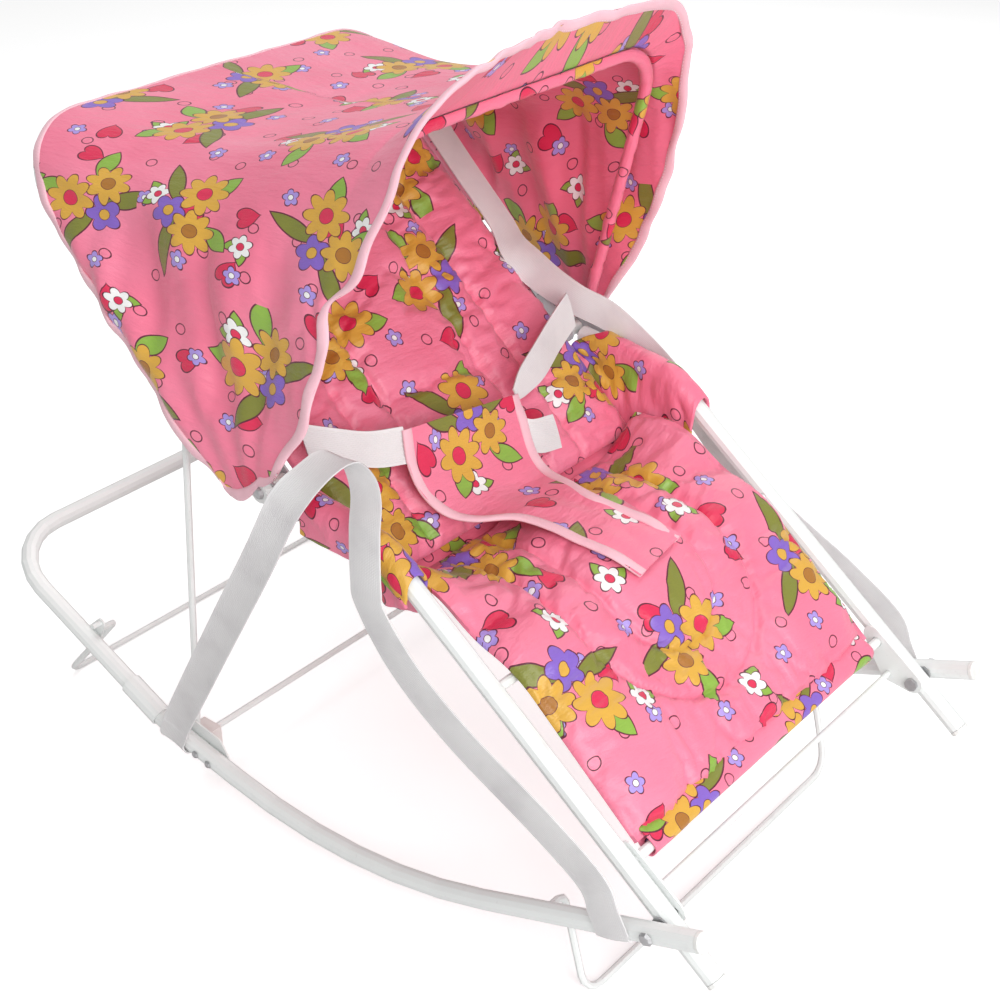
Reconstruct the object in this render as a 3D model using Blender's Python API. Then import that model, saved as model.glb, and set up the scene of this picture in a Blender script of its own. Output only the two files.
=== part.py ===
"""Baby rocker: a folding tube frame on two runners, with a padded hammock seat and a hood.

Metres. +X points to the foot end, +Y to the sitter's left, +Z up, and the floor is z = 0.
The side pieces come in pairs: "right" lies at -Y and "left" at +Y.
"""
from math import acos, ceil, cos, exp, hypot, pi, radians, sin, tan

import bmesh
import bpy
from mathutils import Matrix, Vector

# Tubes, wires and sheet
TUBE_D = 0.016
TUBE_WALL = 0.0012
WIRE_D = 0.006
ROD_D = 0.008
CROSS_WIRE_D = 0.005
BOW_D = 0.007
PLATE_T = 0.002
FLANGE_T = 0.0016
BOLT_D = 0.006
RIVET_D = 0.004
RIVET_HEAD_RATIO = 0.95
RIVET_HEAD_SHARE = 0.45
COLLAR_R = 0.007
GAP = 0.0003
CHORD_SAG = 0.0006

# Widths, from the middle plane
SEAT_Y = 0.1815
WASHER_T = 0.0015
RUNNER_Y = SEAT_Y + TUBE_D + WASHER_T + 2 * GAP

# Side outline of the base, from the front pivot backwards
PIVOT = Vector((0.3455, 0, 0.132))
RUNNER_FRONT_SLOPE = radians(22.35)
RUNNER_FRONT_RUN = 0.3112
RUNNER_REAR_SLOPE = radians(10.2)
RUNNER_REAR_RUN = 0.2341
RUNNER_ARC_R = 0.5
RUNNER_TIP = 0.041
ARM_SLOPE = radians(24.4)
ARM_LENGTH = 0.2347
KINK_R = 0.05
ARCH_CORNER_R = 0.058

# Seat frame and backrest
SEAT_SLOPE = radians(37.02)
SEAT_LENGTH = 0.3256
SEAT_BEND_R = 0.05
SEAT_TIP = 0.05198
ARMREST_SLOPE = radians(7.7)
ARMREST_LENGTH = 0.112
BACK_SLOPE = radians(41.85)
BACK_LENGTH = 0.3282
BACK_CORNER_R = 0.06
HINGE_SETBACK = 0.012
HEM_AT = 0.0446
KNEE_AT = 0.198
ROD_DROP = 0.001

# Hood
HOOD_SLOPE = radians(108.65)
HOOD_LENGTH = 0.292
HOOD_TOP_Y = 0.16
HOOD_CORNER_R = 0.06
VISOR = 0.042
VISOR_FORE = 0.023
CANOPY_FOOT = 0.018
EDGE_FOOT = 0.022
EDGE_FOOT_FORE = 0.012
EDGE_BULGE = 0.015
FABRIC_T = 0.002

# Round facets
TUBE_SIDES = 12
WIRE_SIDES = 8
ROUND = 12
RIVET_SIDES = 8

SIDES = {"right": -1, "left": 1}
both = tuple(SIDES.values())


def back_at(angle):
    """Unit vector that points backwards and rises by the angle."""
    return Vector((-cos(angle), 0, sin(angle)))


def up_from(angle):
    """Unit vector square to back_at, on its upper side."""
    return Vector((sin(angle), 0, cos(angle)))


ARM = back_at(ARM_SLOPE)
RUNNER_LOW = PIVOT + RUNNER_FRONT_RUN * back_at(-RUNNER_FRONT_SLOPE)
RUNNER_REAR = back_at(RUNNER_REAR_SLOPE)
KINK = RUNNER_LOW + RUNNER_REAR_RUN * RUNNER_REAR
ARCH = KINK + ARM_LENGTH * ARM
SEAT = back_at(SEAT_SLOPE)
SEAT_UP = up_from(SEAT_SLOPE)
BEND = PIVOT + SEAT_LENGTH * SEAT
ARMREST = back_at(ARMREST_SLOPE)
HINGE = BEND + ARMREST_LENGTH * ARMREST
BACK = back_at(BACK_SLOPE)
BACK_UP = up_from(BACK_SLOPE)
BACK_TOP = HINGE + BACK_LENGTH * BACK
HOOD = back_at(HOOD_SLOPE)
HOOD_TOP = HINGE + HOOD_LENGTH * HOOD


def at_y(point, y):
    """The point moved sideways to y."""
    return Vector((point.x, y, point.z))


def clear_radius(diameter, sides=ROUND):
    """Corner radius of a faceted hole whose flats clear a round piece by the gap."""
    return (diameter / 2 + GAP) / cos(pi / sides)


# Shapes: each function returns a bmesh

def rounded_path(corners, radii):
    """Points of a path through the corners, each inner corner rounded to its radius."""
    points = [corners[0]]
    for before, corner, after, radius in zip(corners, corners[1:], corners[2:], radii):
        towards = (before - corner).normalized()
        away = (after - corner).normalized()
        half = towards.angle(away) / 2
        centre = corner + (towards + away).normalized() * radius / sin(half)
        start = corner + towards * radius / tan(half) - centre
        turn = pi - 2 * half
        count = max(2, ceil(turn / (2 * acos(1 - CHORD_SAG / radius))))
        axis = away.cross(towards)
        for i in range(count + 1):
            points.append(centre + Matrix.Rotation(turn * i / count, 3, axis) @ start)
    return points + [corners[-1]]


def sweep(points, diameter, sides, capped=True, tilt=0.0):
    """A round bar or, uncapped, the skin of a tube along the points."""
    curve = bpy.data.curves.new("path", "CURVE")
    curve.dimensions = "3D"
    curve.bevel_depth = diameter / 2
    curve.bevel_resolution = (sides - 4) // 2
    curve.use_fill_caps = capped
    spline = curve.splines.new("POLY")
    spline.points.add(len(points) - 1)
    for spot, point in zip(spline.points, points):
        spot.co = (*point, 1)
        spot.tilt = tilt
    guide = bpy.data.objects.new("path", curve)
    bpy.context.collection.objects.link(guide)
    bpy.context.view_layer.update()
    mesh = bpy.data.meshes.new_from_object(guide.evaluated_get(bpy.context.evaluated_depsgraph_get()))
    bpy.data.objects.remove(guide)
    bpy.data.curves.remove(curve)
    shape = bmesh.new()
    shape.from_mesh(mesh)
    bpy.data.meshes.remove(mesh)
    bmesh.ops.remove_doubles(shape, verts=shape.verts, dist=0.00001)
    return shape


def turned(profile, base, axis, sides=ROUND):
    """A turned solid: (radius, height) pairs, spun round the axis through the base."""
    shape = bmesh.new()
    verts = [shape.verts.new((radius, 0, height)) for radius, height in profile]
    edges = [shape.edges.new(pair) for pair in zip(verts, verts[1:])]
    bmesh.ops.spin(shape, geom=verts + edges, axis=(0, 0, 1), angle=2 * pi, steps=sides, use_merge=True)
    bmesh.ops.remove_doubles(shape, verts=shape.verts, dist=0.00001)
    bmesh.ops.recalc_face_normals(shape, faces=shape.faces)
    turn = Vector((0, 0, 1)).rotation_difference(Vector(axis)).to_matrix().to_4x4()
    shape.transform(Matrix.Translation(base) @ turn)
    return shape


def rod(start, end, diameter, sides=ROUND):
    """A straight round rod with flat ends."""
    length = (end - start).length
    profile = [(0, 0), (diameter / 2, 0), (diameter / 2, length), (0, length)]
    return turned(profile, start, (end - start).normalized(), sides)


def ring(start, end, inner, outer, sides=ROUND):
    """A round sleeve or washer with the two radii."""
    length = (end - start).length
    profile = [(inner, 0), (outer, 0), (outer, length), (inner, length), (inner, 0)]
    return turned(profile, start, (end - start).normalized(), sides)


def plate(discs, y_from, y_to, sides=ROUND):
    """An upright plate: the hull of discs (centre, radius), between two values of y."""
    shape = bmesh.new()
    for centre, radius in discs:
        for i in range(sides):
            angle = 2 * pi * i / sides
            offset = Vector((radius * cos(angle), 0, radius * sin(angle)))
            shape.verts.new(at_y(centre + offset, y_from))
            shape.verts.new(at_y(centre + offset, y_to))
    hull = bmesh.ops.convex_hull(shape, input=shape.verts)
    bmesh.ops.delete(shape, geom=hull["geom_interior"], context="VERTS")
    flat = [e for e in shape.edges if e.calc_face_angle(1) < 0.001]
    bmesh.ops.dissolve_edges(shape, edges=flat, use_verts=False)
    bmesh.ops.recalc_face_normals(shape, faces=shape.faces)
    return shape


def block(low, high):
    """A box between two corners."""
    shape = bmesh.new()
    low, high = Vector(low), Vector(high)
    middle = Matrix.Translation((low + high) / 2)
    size = Matrix.Diagonal((*(high - low), 1))
    bmesh.ops.create_cube(shape, size=1, matrix=middle @ size)
    bmesh.ops.recalc_face_normals(shape, faces=shape.faces)
    return shape


def grid(rows, closed=False):
    """An open sheet through rows of points; closed joins the last row to the first."""
    shape = bmesh.new()
    verts = [[shape.verts.new(point) for point in row] for row in rows]
    pairs = list(zip(verts, verts[1:])) + ([(verts[-1], verts[0])] if closed else [])
    for one, other in pairs:
        for a, b, c, d in zip(one, one[1:], other[1:], other):
            shape.faces.new((a, b, c, d))
    bmesh.ops.remove_doubles(shape, verts=shape.verts, dist=0.00001)
    return shape


def joined(*shapes):
    """Several solids in one bmesh."""
    result = bmesh.new()
    for shape in shapes:
        mesh = bpy.data.meshes.new("part")
        shape.to_mesh(mesh)
        result.from_mesh(mesh)
        bpy.data.meshes.remove(mesh)
        shape.free()
    return result


# Objects

def finish(name, colour, roughness, metallic=0.0):
    """A Principled material."""
    material = bpy.data.materials.new(name)
    material.use_nodes = True
    shader = material.node_tree.nodes["Principled BSDF"]
    shader.inputs["Base Color"].default_value = (*colour, 1)
    shader.inputs["Roughness"].default_value = roughness
    shader.inputs["Metallic"].default_value = metallic
    return material


COATED_STEEL = ((0.80, 0.82, 0.81), 0.3, 0.0)
BARE_STEEL = ((0.55, 0.56, 0.57), 0.35, 1.0)
WHITE_PLASTIC = ((0.82, 0.82, 0.80), 0.4, 0.0)
CLAMP_PLASTIC = ((0.80, 0.74, 0.72), 0.45, 0.0)
WEBBING = ((0.78, 0.77, 0.77), 0.85, 0.0)
PINK_FABRIC = ((0.87, 0.24, 0.40), 0.5, 0.0)


def pivot_empty(name, point, parent=None):
    """An empty on a joint's axis, which carries the pieces that turn there."""
    empty = bpy.data.objects.new(name, None)
    empty.parent = parent
    empty.location = point - (parent["place"] and Vector(parent["place"]) if parent else Vector())
    empty["place"] = tuple(point)
    bpy.context.collection.objects.link(empty)
    return empty


def add(name, shape, look, carrier=None):
    """An object of the shape, given in world places, with its own material."""
    mesh = bpy.data.meshes.new(name)
    shape.to_mesh(mesh)
    shape.free()
    mesh.shade_smooth()
    mesh.set_sharp_from_angle(angle=radians(35))
    thing = bpy.data.objects.new(name, mesh)
    mesh.materials.append(finish(name, *look))
    bpy.context.collection.objects.link(thing)
    if carrier:
        thing.parent = carrier
        thing.matrix_parent_inverse = Matrix.Translation(-Vector(carrier["place"]))
    return thing


def boolean(thing, shape, operation):
    """Cuts the shape from an object, or welds it on."""
    tool = add("tool_" + thing.name, shape, BARE_STEEL)
    tool.hide_render = True
    tool.display_type = "WIRE"
    step = thing.modifiers.new(operation.lower(), "BOOLEAN")
    step.object = tool
    step.operation = operation
    return thing


def drill(thing, *holes):
    """Drills round holes: (start, end, diameter of what passes through)."""
    tools = [
        rod(start, end, 2 * clear_radius(size, RIVET_SIDES), RIVET_SIDES) for start, end, size in holes]
    return boolean(thing, joined(*tools), "DIFFERENCE")


def tube(name, points, carrier=None):
    """A hollow steel tube along the points."""
    thing = add(name, sweep(points, TUBE_D, TUBE_SIDES, capped=False), COATED_STEEL, carrier)
    wall = thing.modifiers.new("wall", "SOLIDIFY")
    wall.thickness = TUBE_WALL
    wall.offset = -1
    wall.use_even_offset = True
    return thing


def sheet(name, shape, look, thickness, carrier=None, offset=0.0):
    """A fabric sheet: an open shape given its thickness."""
    thing = add(name, shape, look, carrier)
    layer = thing.modifiers.new("thickness", "SOLIDIFY")
    layer.thickness = thickness
    layer.offset = offset
    layer.use_even_offset = True
    return thing


def rivet(spot, side, inner, outer, shank, collar_from=None):
    """A rivet along Y with a flat inner and a domed outer head; the collar is a spacer."""
    length = outer - inner
    head_r = shank * RIVET_HEAD_RATIO
    head_t = shank * RIVET_HEAD_SHARE
    profile = [(0, -head_t), (head_r, -head_t), (head_r, 0), (shank / 2, 0)]
    if collar_from:
        near = collar_from - inner
        far = near + WASHER_T
        profile += [(shank / 2, near), (COLLAR_R, near), (COLLAR_R, far), (shank / 2, far)]
    profile += [
        (shank / 2, length), (head_r, length), (head_r * 0.7, length + head_t * 0.8), (0, length + head_t)]
    return turned(profile, at_y(spot, side * inner), (0, side, 0), RIVET_SIDES)


def plug(end, outward):
    """A tube plug: a head as wide as the tube and a spigot inside it."""
    head, spigot, head_t = TUBE_D / 2, TUBE_D / 2 - TUBE_WALL - 2 * GAP, PLUG_HEAD_T
    chamfer = 0.001
    profile = [
        (0, -PLUG_DEPTH),
        (spigot, -PLUG_DEPTH),
        (spigot, GAP),
        (head, GAP),
        (head, head_t - chamfer),
        (head - chamfer, head_t),
        (0, head_t),
    ]
    return turned(profile, end, outward, TUBE_SIDES)


for old in list(bpy.data.objects):
    bpy.data.objects.remove(old)

# Base: runners, rear arch and their splices
PLUG_HEAD_T = 0.004
PLUG_DEPTH = 0.012
SPLICE_FROM = 0.0075
SPLICE_TO = 0.050
SPLICE_JOINT = 0.028
SPLICE_WALL = 0.0012
PROP_ALONG = 0.025
PROP_DROP = 0.011
PROP_Y = RUNNER_Y - TUBE_D / 2 - GAP - FLANGE_T - 0.0012 - WIRE_D / 2
CLAMP_REACH = 0.012
CLAMP_INNER_Y = 0.168
RIVET_SPOTS = (0.046, 0.062)

RAIL_INNER = RUNNER_Y - TUBE_D / 2
RAIL_OUTER = RUNNER_Y + TUBE_D / 2
RAIL_UP = up_from(RUNNER_REAR_SLOPE)
PROP_PIVOT = KINK - PROP_ALONG * RUNNER_REAR - PROP_DROP * RAIL_UP
RUNNER_END = PIVOT - RUNNER_TIP * back_at(-RUNNER_FRONT_SLOPE)

REAR_STOPPER_AT = 0.1115
REAR_STOPPER_REACH = 0.0877
REAR_STOPPER_Y = 0.168
FRONT_STOPPER_AT = 0.1025
FRONT_STOPPER_REACH = 0.0233
FRONT_STOPPER_Y = 0.176
STOPPER_CORNER_R = 0.02
EAR_R = 0.007
WIRE_REST = WIRE_D / 2 * cos(pi / WIRE_SIDES)
CATCH_RISE = 0.017
REAR_EAR = KINK + REAR_STOPPER_AT * ARM
FRONT_EAR = PIVOT + FRONT_STOPPER_AT * back_at(-RUNNER_FRONT_SLOPE)

arch_start = KINK + (SPLICE_JOINT + GAP) * ARM
arch = tube("rear_arch_tube", rounded_path(
    [at_y(arch_start, -RUNNER_Y), at_y(ARCH, -RUNNER_Y), at_y(ARCH, RUNNER_Y), at_y(arch_start, RUNNER_Y)],
    [ARCH_CORNER_R, ARCH_CORNER_R]))
drill(arch, *[
    (at_y(REAR_EAR, side * (RAIL_INNER - 0.004)), at_y(REAR_EAR, side * RUNNER_Y), WIRE_D)
    for side in SIDES.values()])

for hand, side in SIDES.items():
    runner = tube("runner_" + hand, rounded_path(
        [at_y(KINK + SPLICE_JOINT * ARM, side * RUNNER_Y), at_y(KINK, side * RUNNER_Y),
         at_y(RUNNER_LOW, side * RUNNER_Y), at_y(RUNNER_END, side * RUNNER_Y)],
        [KINK_R, RUNNER_ARC_R]))
    holes = [
        (at_y(PIVOT, side * (RAIL_INNER - 0.004)), at_y(PIVOT, side * (RAIL_OUTER + 0.004)), BOLT_D),
        (at_y(FRONT_EAR, side * (RAIL_INNER - 0.004)), at_y(FRONT_EAR, side * RUNNER_Y), WIRE_D)]
    spots = [KINK - along * RUNNER_REAR for along in RIVET_SPOTS]
    rivet_holes = [
        (at_y(spot, side * (RAIL_INNER - 0.008)), at_y(spot, side * (RAIL_OUTER + 0.004)), RIVET_D)
        for spot in spots]
    drill(runner, *holes, *rivet_holes)
    add("runner_cap_" + hand, plug(at_y(RUNNER_END, side * RUNNER_Y), -back_at(-RUNNER_FRONT_SLOPE)),
        WHITE_PLASTIC)
    add("splice_sleeve_" + hand, ring(
        at_y(KINK + SPLICE_FROM * ARM, side * RUNNER_Y), at_y(KINK + SPLICE_TO * ARM, side * RUNNER_Y),
        clear_radius(TUBE_D, TUBE_SIDES), clear_radius(TUBE_D, TUBE_SIDES) + SPLICE_WALL, TUBE_SIDES),
        COATED_STEEL)
    lug = PROP_PIVOT - 0.002 * RAIL_UP
    flange = add("splice_plate_" + hand, plate(
        [(KINK - 0.013 * RUNNER_REAR, 0.006), (KINK - 0.064 * RUNNER_REAR, 0.006),
         (KINK - 0.018 * RUNNER_REAR + 0.009 * RAIL_UP, 0.006),
         (KINK - 0.056 * RUNNER_REAR + 0.009 * RAIL_UP, 0.006), (lug, 0.009)],
        side * (RAIL_INNER - GAP - FLANGE_T), side * (RAIL_INNER - GAP)), COATED_STEEL)
    drill(flange, *rivet_holes)
    flange_y = RAIL_INNER - 2 * GAP - FLANGE_T
    bend_y = PROP_Y - EAR_R - GAP
    front = PROP_PIVOT.x + WIRE_D / 2 + 0.0015
    clamp_low = PROP_PIVOT.z - 0.010
    clamp_high = PROP_PIVOT.z + 0.009
    clamp = add("splice_clamp_" + hand, block(
        (PROP_PIVOT.x - 0.010, min(side * CLAMP_INNER_Y, side * bend_y), clamp_low),
        (PROP_PIVOT.x + CLAMP_REACH, max(side * CLAMP_INNER_Y, side * bend_y), clamp_high)), CLAMP_PLASTIC)
    boolean(clamp, block(
        (front, min(side * (CLAMP_INNER_Y + 0.002), side * flange_y), clamp_low),
        (PROP_PIVOT.x + CLAMP_REACH, max(side * (CLAMP_INNER_Y + 0.002), side * flange_y), clamp_high)),
        "UNION")
    drill(clamp, (at_y(PROP_PIVOT, side * (CLAMP_INNER_Y - 0.004)), at_y(PROP_PIVOT, side * (bend_y + 0.001)),
                  WIRE_D))
    ear_up = up_from(ARM_SLOPE)
    catch = add("stopper_catch_" + hand, plate(
        [(REAR_EAR, 0.008), (REAR_EAR - 0.004 * ARM + CATCH_RISE * ear_up, 0.005)],
        side * (RAIL_INNER - GAP - FLANGE_T), side * (RAIL_INNER - GAP)), COATED_STEEL)
    pin = REAR_EAR - 0.003 * ARM + CATCH_RISE * ear_up
    boolean(catch, rod(at_y(pin, side * (RAIL_INNER - GAP - FLANGE_T / 2)),
                       at_y(pin, side * (RAIL_INNER + 0.008)), 0.005), "UNION")
    drill(catch, (at_y(REAR_EAR, side * (RAIL_INNER - 0.008)), at_y(REAR_EAR, side * RAIL_INNER), WIRE_D))

for hand, side in SIDES.items():
    for place, along in zip(("rear", "front"), RIVET_SPOTS):
        spot = KINK - along * RUNNER_REAR
        add("splice_rivet_" + place + "_" + hand, rivet(
            spot, side, RAIL_INNER - 2 * GAP - FLANGE_T, RAIL_OUTER + GAP, RIVET_D), BARE_STEEL)

# Joint axes
seat_axis = pivot_empty("seat_axis", PIVOT)
back_axis = pivot_empty("back_axis", HINGE, seat_axis)
hood_axis = pivot_empty("hood_axis", HINGE, back_axis)
prop_axis = pivot_empty("prop_axis", PROP_PIVOT)
front_stopper_axis = pivot_empty("front_stopper_axis", FRONT_EAR)
rear_stopper_axis = pivot_empty("rear_stopper_axis", REAR_EAR)


def stopper(ear, leg_y, foot_x):
    """Path of a stopper wire: an ear into each rail, two legs and the bar on the floor."""
    foot = Vector((foot_x, 0, WIRE_REST))
    ear_end = RAIL_INNER + TUBE_WALL + 0.0015
    corners = [
        at_y(ear, -ear_end), at_y(ear, -leg_y), at_y(foot, -leg_y),
        at_y(foot, leg_y), at_y(ear, leg_y), at_y(ear, ear_end)]
    return rounded_path(corners, [EAR_R, STOPPER_CORNER_R, STOPPER_CORNER_R, EAR_R])


FACET = pi / WIRE_SIDES
add("front_stopper_wire", sweep(
    stopper(FRONT_EAR, FRONT_STOPPER_Y, FRONT_EAR.x + FRONT_STOPPER_REACH), WIRE_D, WIRE_SIDES, tilt=FACET),
    COATED_STEEL, front_stopper_axis)
add("rear_stopper_wire", sweep(
    stopper(REAR_EAR, REAR_STOPPER_Y, REAR_EAR.x - REAR_STOPPER_REACH), WIRE_D, WIRE_SIDES, tilt=FACET),
    COATED_STEEL, rear_stopper_axis)

# Prop: one wire that turns in the clamps and hooks under the backrest tube
HOOK_AT = 0.105
HOOK_DROP = 0.022
HOOK_Y = 0.1775
STUB_INNER_Y = 0.172
PROP_TOP = HINGE + HOOK_AT * BACK - HOOK_DROP * BACK_UP
add("prop_wire", sweep(rounded_path(
    [at_y(PROP_TOP, -STUB_INNER_Y), at_y(PROP_TOP, -PROP_Y), at_y(PROP_PIVOT, -PROP_Y),
     at_y(PROP_PIVOT, PROP_Y), at_y(PROP_TOP, PROP_Y), at_y(PROP_TOP, STUB_INNER_Y)],
    [EAR_R] * 4), WIRE_D, WIRE_SIDES), COATED_STEEL, prop_axis)

# Seat frame
SEAT_INNER = SEAT_Y - TUBE_D / 2
SEAT_OUTER = SEAT_Y + TUBE_D / 2
SEAT_END = PIVOT - SEAT_TIP * SEAT
BRACKET_LENGTH = 0.040
PLATE_LENGTH = 0.050
HEM = PIVOT + HEM_AT * SEAT - ROD_DROP * SEAT_UP
KNEE = PIVOT + KNEE_AT * SEAT - ROD_DROP * SEAT_UP
CROSS_AT = 0.018
CROSS_DROP = 0.013
CROSS = PIVOT + CROSS_AT * SEAT - CROSS_DROP * SEAT_UP
ROD_END_Y = SEAT_INNER + TUBE_WALL + 0.0018
BOW_Y = SEAT_OUTER + 2 * GAP + PLATE_T + BOW_D / 2 + GAP
EYE_R = 0.009

for hand, side in SIDES.items():
    seat_tube = tube("seat_tube_" + hand, rounded_path(
        [at_y(SEAT_END, side * SEAT_Y), at_y(BEND, side * SEAT_Y),
         at_y(HINGE - HINGE_SETBACK * ARMREST, side * SEAT_Y)], [SEAT_BEND_R]), seat_axis)
    bracket_rivet = HINGE - (BRACKET_LENGTH - 0.005) * ARMREST
    rivet_hole = (at_y(bracket_rivet, side * (SEAT_INNER - 0.006)),
                  at_y(bracket_rivet, side * (SEAT_OUTER + 0.006)), RIVET_D)
    drill(seat_tube,
          (at_y(PIVOT, side * (SEAT_INNER - 0.004)), at_y(PIVOT, side * (SEAT_OUTER + 0.004)), BOLT_D),
          (at_y(HEM, side * (SEAT_INNER - 0.004)), at_y(HEM, side * SEAT_Y), ROD_D),
          (at_y(KNEE, side * (SEAT_INNER - 0.004)), at_y(KNEE, side * SEAT_Y), ROD_D),
          rivet_hole)
    add("seat_tube_cap_" + hand, plug(at_y(SEAT_END, side * SEAT_Y), -SEAT), WHITE_PLASTIC, seat_axis)
    gusset = add("gusset_" + hand, plate(
        [(PIVOT, 0.009), (PIVOT + (HEM_AT + 0.008) * SEAT, 0.0075), (CROSS, 0.007)],
        side * (SEAT_INNER - GAP - PLATE_T), side * (SEAT_INNER - GAP)), COATED_STEEL, seat_axis)
    drill(gusset, *[
        (at_y(spot, side * (SEAT_INNER - 0.008)), at_y(spot, side * SEAT_INNER), size)
        for spot, size in ((PIVOT, BOLT_D), (HEM, ROD_D), (CROSS, CROSS_WIRE_D))])
    bracket = add("hinge_bracket_" + hand, plate(
        [(HINGE, 0.0075), (HINGE - 0.018 * ARMREST - Vector((0, 0, 0.008)), 0.012),
         (HINGE - (BRACKET_LENGTH - 0.004) * ARMREST, 0.008)],
        side * (SEAT_OUTER + GAP), side * (SEAT_OUTER + GAP + PLATE_T)), BARE_STEEL, seat_axis)
    drill(bracket, rivet_hole,
          (at_y(HINGE, side * SEAT_OUTER), at_y(HINGE, side * (SEAT_OUTER + 0.006)), BOLT_D))
    inner_plate = add("hinge_plate_" + hand, plate(
        [(HINGE, 0.009), (HINGE + PLATE_LENGTH * BACK, 0.0075)],
        side * (SEAT_INNER - GAP - PLATE_T), side * (SEAT_INNER - GAP)), BARE_STEEL, back_axis)
    plate_rivet = HINGE + (PLATE_LENGTH - 0.005) * BACK
    drill(inner_plate,
          (at_y(HINGE, side * (SEAT_INNER - 0.008)), at_y(HINGE, side * SEAT_INNER), BOLT_D),
          (at_y(plate_rivet, side * (SEAT_INNER - 0.008)), at_y(plate_rivet, side * SEAT_INNER), RIVET_D))


inner_face = SEAT_INNER - 2 * GAP - PLATE_T
for hand, side in SIDES.items():
    add("pivot_rivet_" + hand, rivet(
        PIVOT, side, inner_face, RAIL_OUTER + GAP, BOLT_D, collar_from=SEAT_OUTER + GAP), BARE_STEEL)
    add("hinge_rivet_" + hand, rivet(
        HINGE, side, inner_face, BOW_Y + BOW_D / 2 + GAP, BOLT_D), BARE_STEEL, seat_axis)
    add("hinge_bush_" + hand, ring(
        at_y(HINGE, side * SEAT_INNER), at_y(HINGE, side * SEAT_OUTER), clear_radius(BOLT_D), 0.006),
        WHITE_PLASTIC, seat_axis)
    add("bracket_rivet_" + hand, rivet(
        bracket_rivet, side, SEAT_INNER - GAP, SEAT_OUTER + 2 * GAP + PLATE_T, RIVET_D),
        BARE_STEEL, seat_axis)
    add("plate_rivet_" + hand, rivet(
        plate_rivet, side, inner_face, SEAT_OUTER + GAP, RIVET_D), BARE_STEEL, back_axis)
add("hem_rod", rod(at_y(HEM, -ROD_END_Y), at_y(HEM, ROD_END_Y), ROD_D), COATED_STEEL, seat_axis)
add("knee_rod", rod(at_y(KNEE, -ROD_END_Y), at_y(KNEE, ROD_END_Y), ROD_D), COATED_STEEL, seat_axis)
add("front_cross_wire", rod(at_y(CROSS, -SEAT_INNER - 0.002), at_y(CROSS, SEAT_INNER + 0.002),
                            CROSS_WIRE_D, 12), COATED_STEEL, seat_axis)

# Backrest
back_start = HINGE + HINGE_SETBACK * BACK
back_tube = tube("backrest_tube", rounded_path(
    [at_y(back_start, -SEAT_Y), at_y(BACK_TOP, -SEAT_Y), at_y(BACK_TOP, SEAT_Y), at_y(back_start, SEAT_Y)],
    [BACK_CORNER_R, BACK_CORNER_R]), back_axis)
drill(back_tube, *[
    (at_y(plate_rivet, s * (SEAT_INNER - 0.004)), at_y(plate_rivet, s * (SEAT_OUTER + 0.004)), RIVET_D)
    for s in both])

HOOK_T = 0.002
HOOK_LIP = 0.0035
HOOK_BODY = 0.012
SLOT_SLACK = 0.0015


def on_back(along, up):
    """A point of the backrest's side plane, from the hinge."""
    return HINGE + along * BACK + up * BACK_UP


for hand, side in SIDES.items():
    top = -((TUBE_D / 2) ** 2 - (SEAT_Y - HOOK_Y - HOOK_T / 2) ** 2) ** 0.5 - GAP / 2
    slot_low = -HOOK_DROP - WIRE_D / 2 - SLOT_SLACK
    low = slot_low - HOOK_LIP
    rear, mouth = HOOK_AT - HOOK_BODY, HOOK_AT + 0.009
    hook = add("recline_hook_" + hand, plate(
        [(on_back(rear, top - 0.001), 0.001), (on_back(mouth, top - 0.001), 0.001),
         (on_back(rear, low + 0.001), 0.001), (on_back(mouth, low + 0.001), 0.001)],
        side * (HOOK_Y - HOOK_T / 2), side * (HOOK_Y + HOOK_T / 2), 8), COATED_STEEL, back_axis)
    slot_back = HOOK_AT - WIRE_D / 2 - SLOT_SLACK
    slot_top = top - 0.004
    boolean(hook, plate(
        [(on_back(slot_back, slot_low), 0.0001), (on_back(mouth + 0.006, slot_low), 0.0001),
         (on_back(slot_back, slot_top), 0.0001), (on_back(mouth + 0.006, slot_top), 0.0001)],
        side * (HOOK_Y - HOOK_T), side * (HOOK_Y + HOOK_T), 4), "DIFFERENCE")

# Hood bow, with an eye round the hinge bolt at each end
bow = add("hood_front_bow", sweep(rounded_path(
    [at_y(HINGE + 0.004 * HOOD, -BOW_Y), at_y(HOOD_TOP, -HOOD_TOP_Y), at_y(HOOD_TOP, HOOD_TOP_Y),
     at_y(HINGE + 0.004 * HOOD, BOW_Y)], [HOOD_CORNER_R, HOOD_CORNER_R]), BOW_D, WIRE_SIDES),
    COATED_STEEL, hood_axis)
boolean(bow, joined(*[
    rod(at_y(HINGE, s * (BOW_Y - BOW_D / 2)), at_y(HINGE, s * (BOW_Y + BOW_D / 2)), 2 * EYE_R)
    for s in both]), "UNION")
drill(bow, *[(at_y(HINGE, s * (BOW_Y - 0.006)), at_y(HINGE, s * (BOW_Y + 0.006)), BOLT_D) for s in both])

# Soft goods
CASING_T = 0.0012
PAD_EDGE_T = 0.004
PAD_CROWN = 0.005
CHANNEL_DEPTH = 0.004
CHANNEL_W = 0.006
PAD_CLEARANCE = 0.0115
PAD_HALF = SEAT_INNER - PAD_CLEARANCE
CHANNEL_SPOTS = (0.055, 0.095)
SEAT_PAD_START = ROD_D / 2 + 2 * GAP + CASING_T + PAD_EDGE_T / 2
SEAT_CENTRE_AT = 0.140
CREST_PAST = 0.008
CREST_RISE = 0.0055
SIDE_RISE = 0.034
SIDE_RISE_FROM = 0.105
BACK_LIFT = 0.001
BACK_PAD_LOW = -0.106
SLEEVE_FROM = 0.128
WEBBING_W = 0.030
WEBBING_T = 0.0014


def smooth(value):
    """Smooth step from 0 to 1."""
    value = min(1, max(0, value))
    return value * value * (3 - 2 * value)


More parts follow.
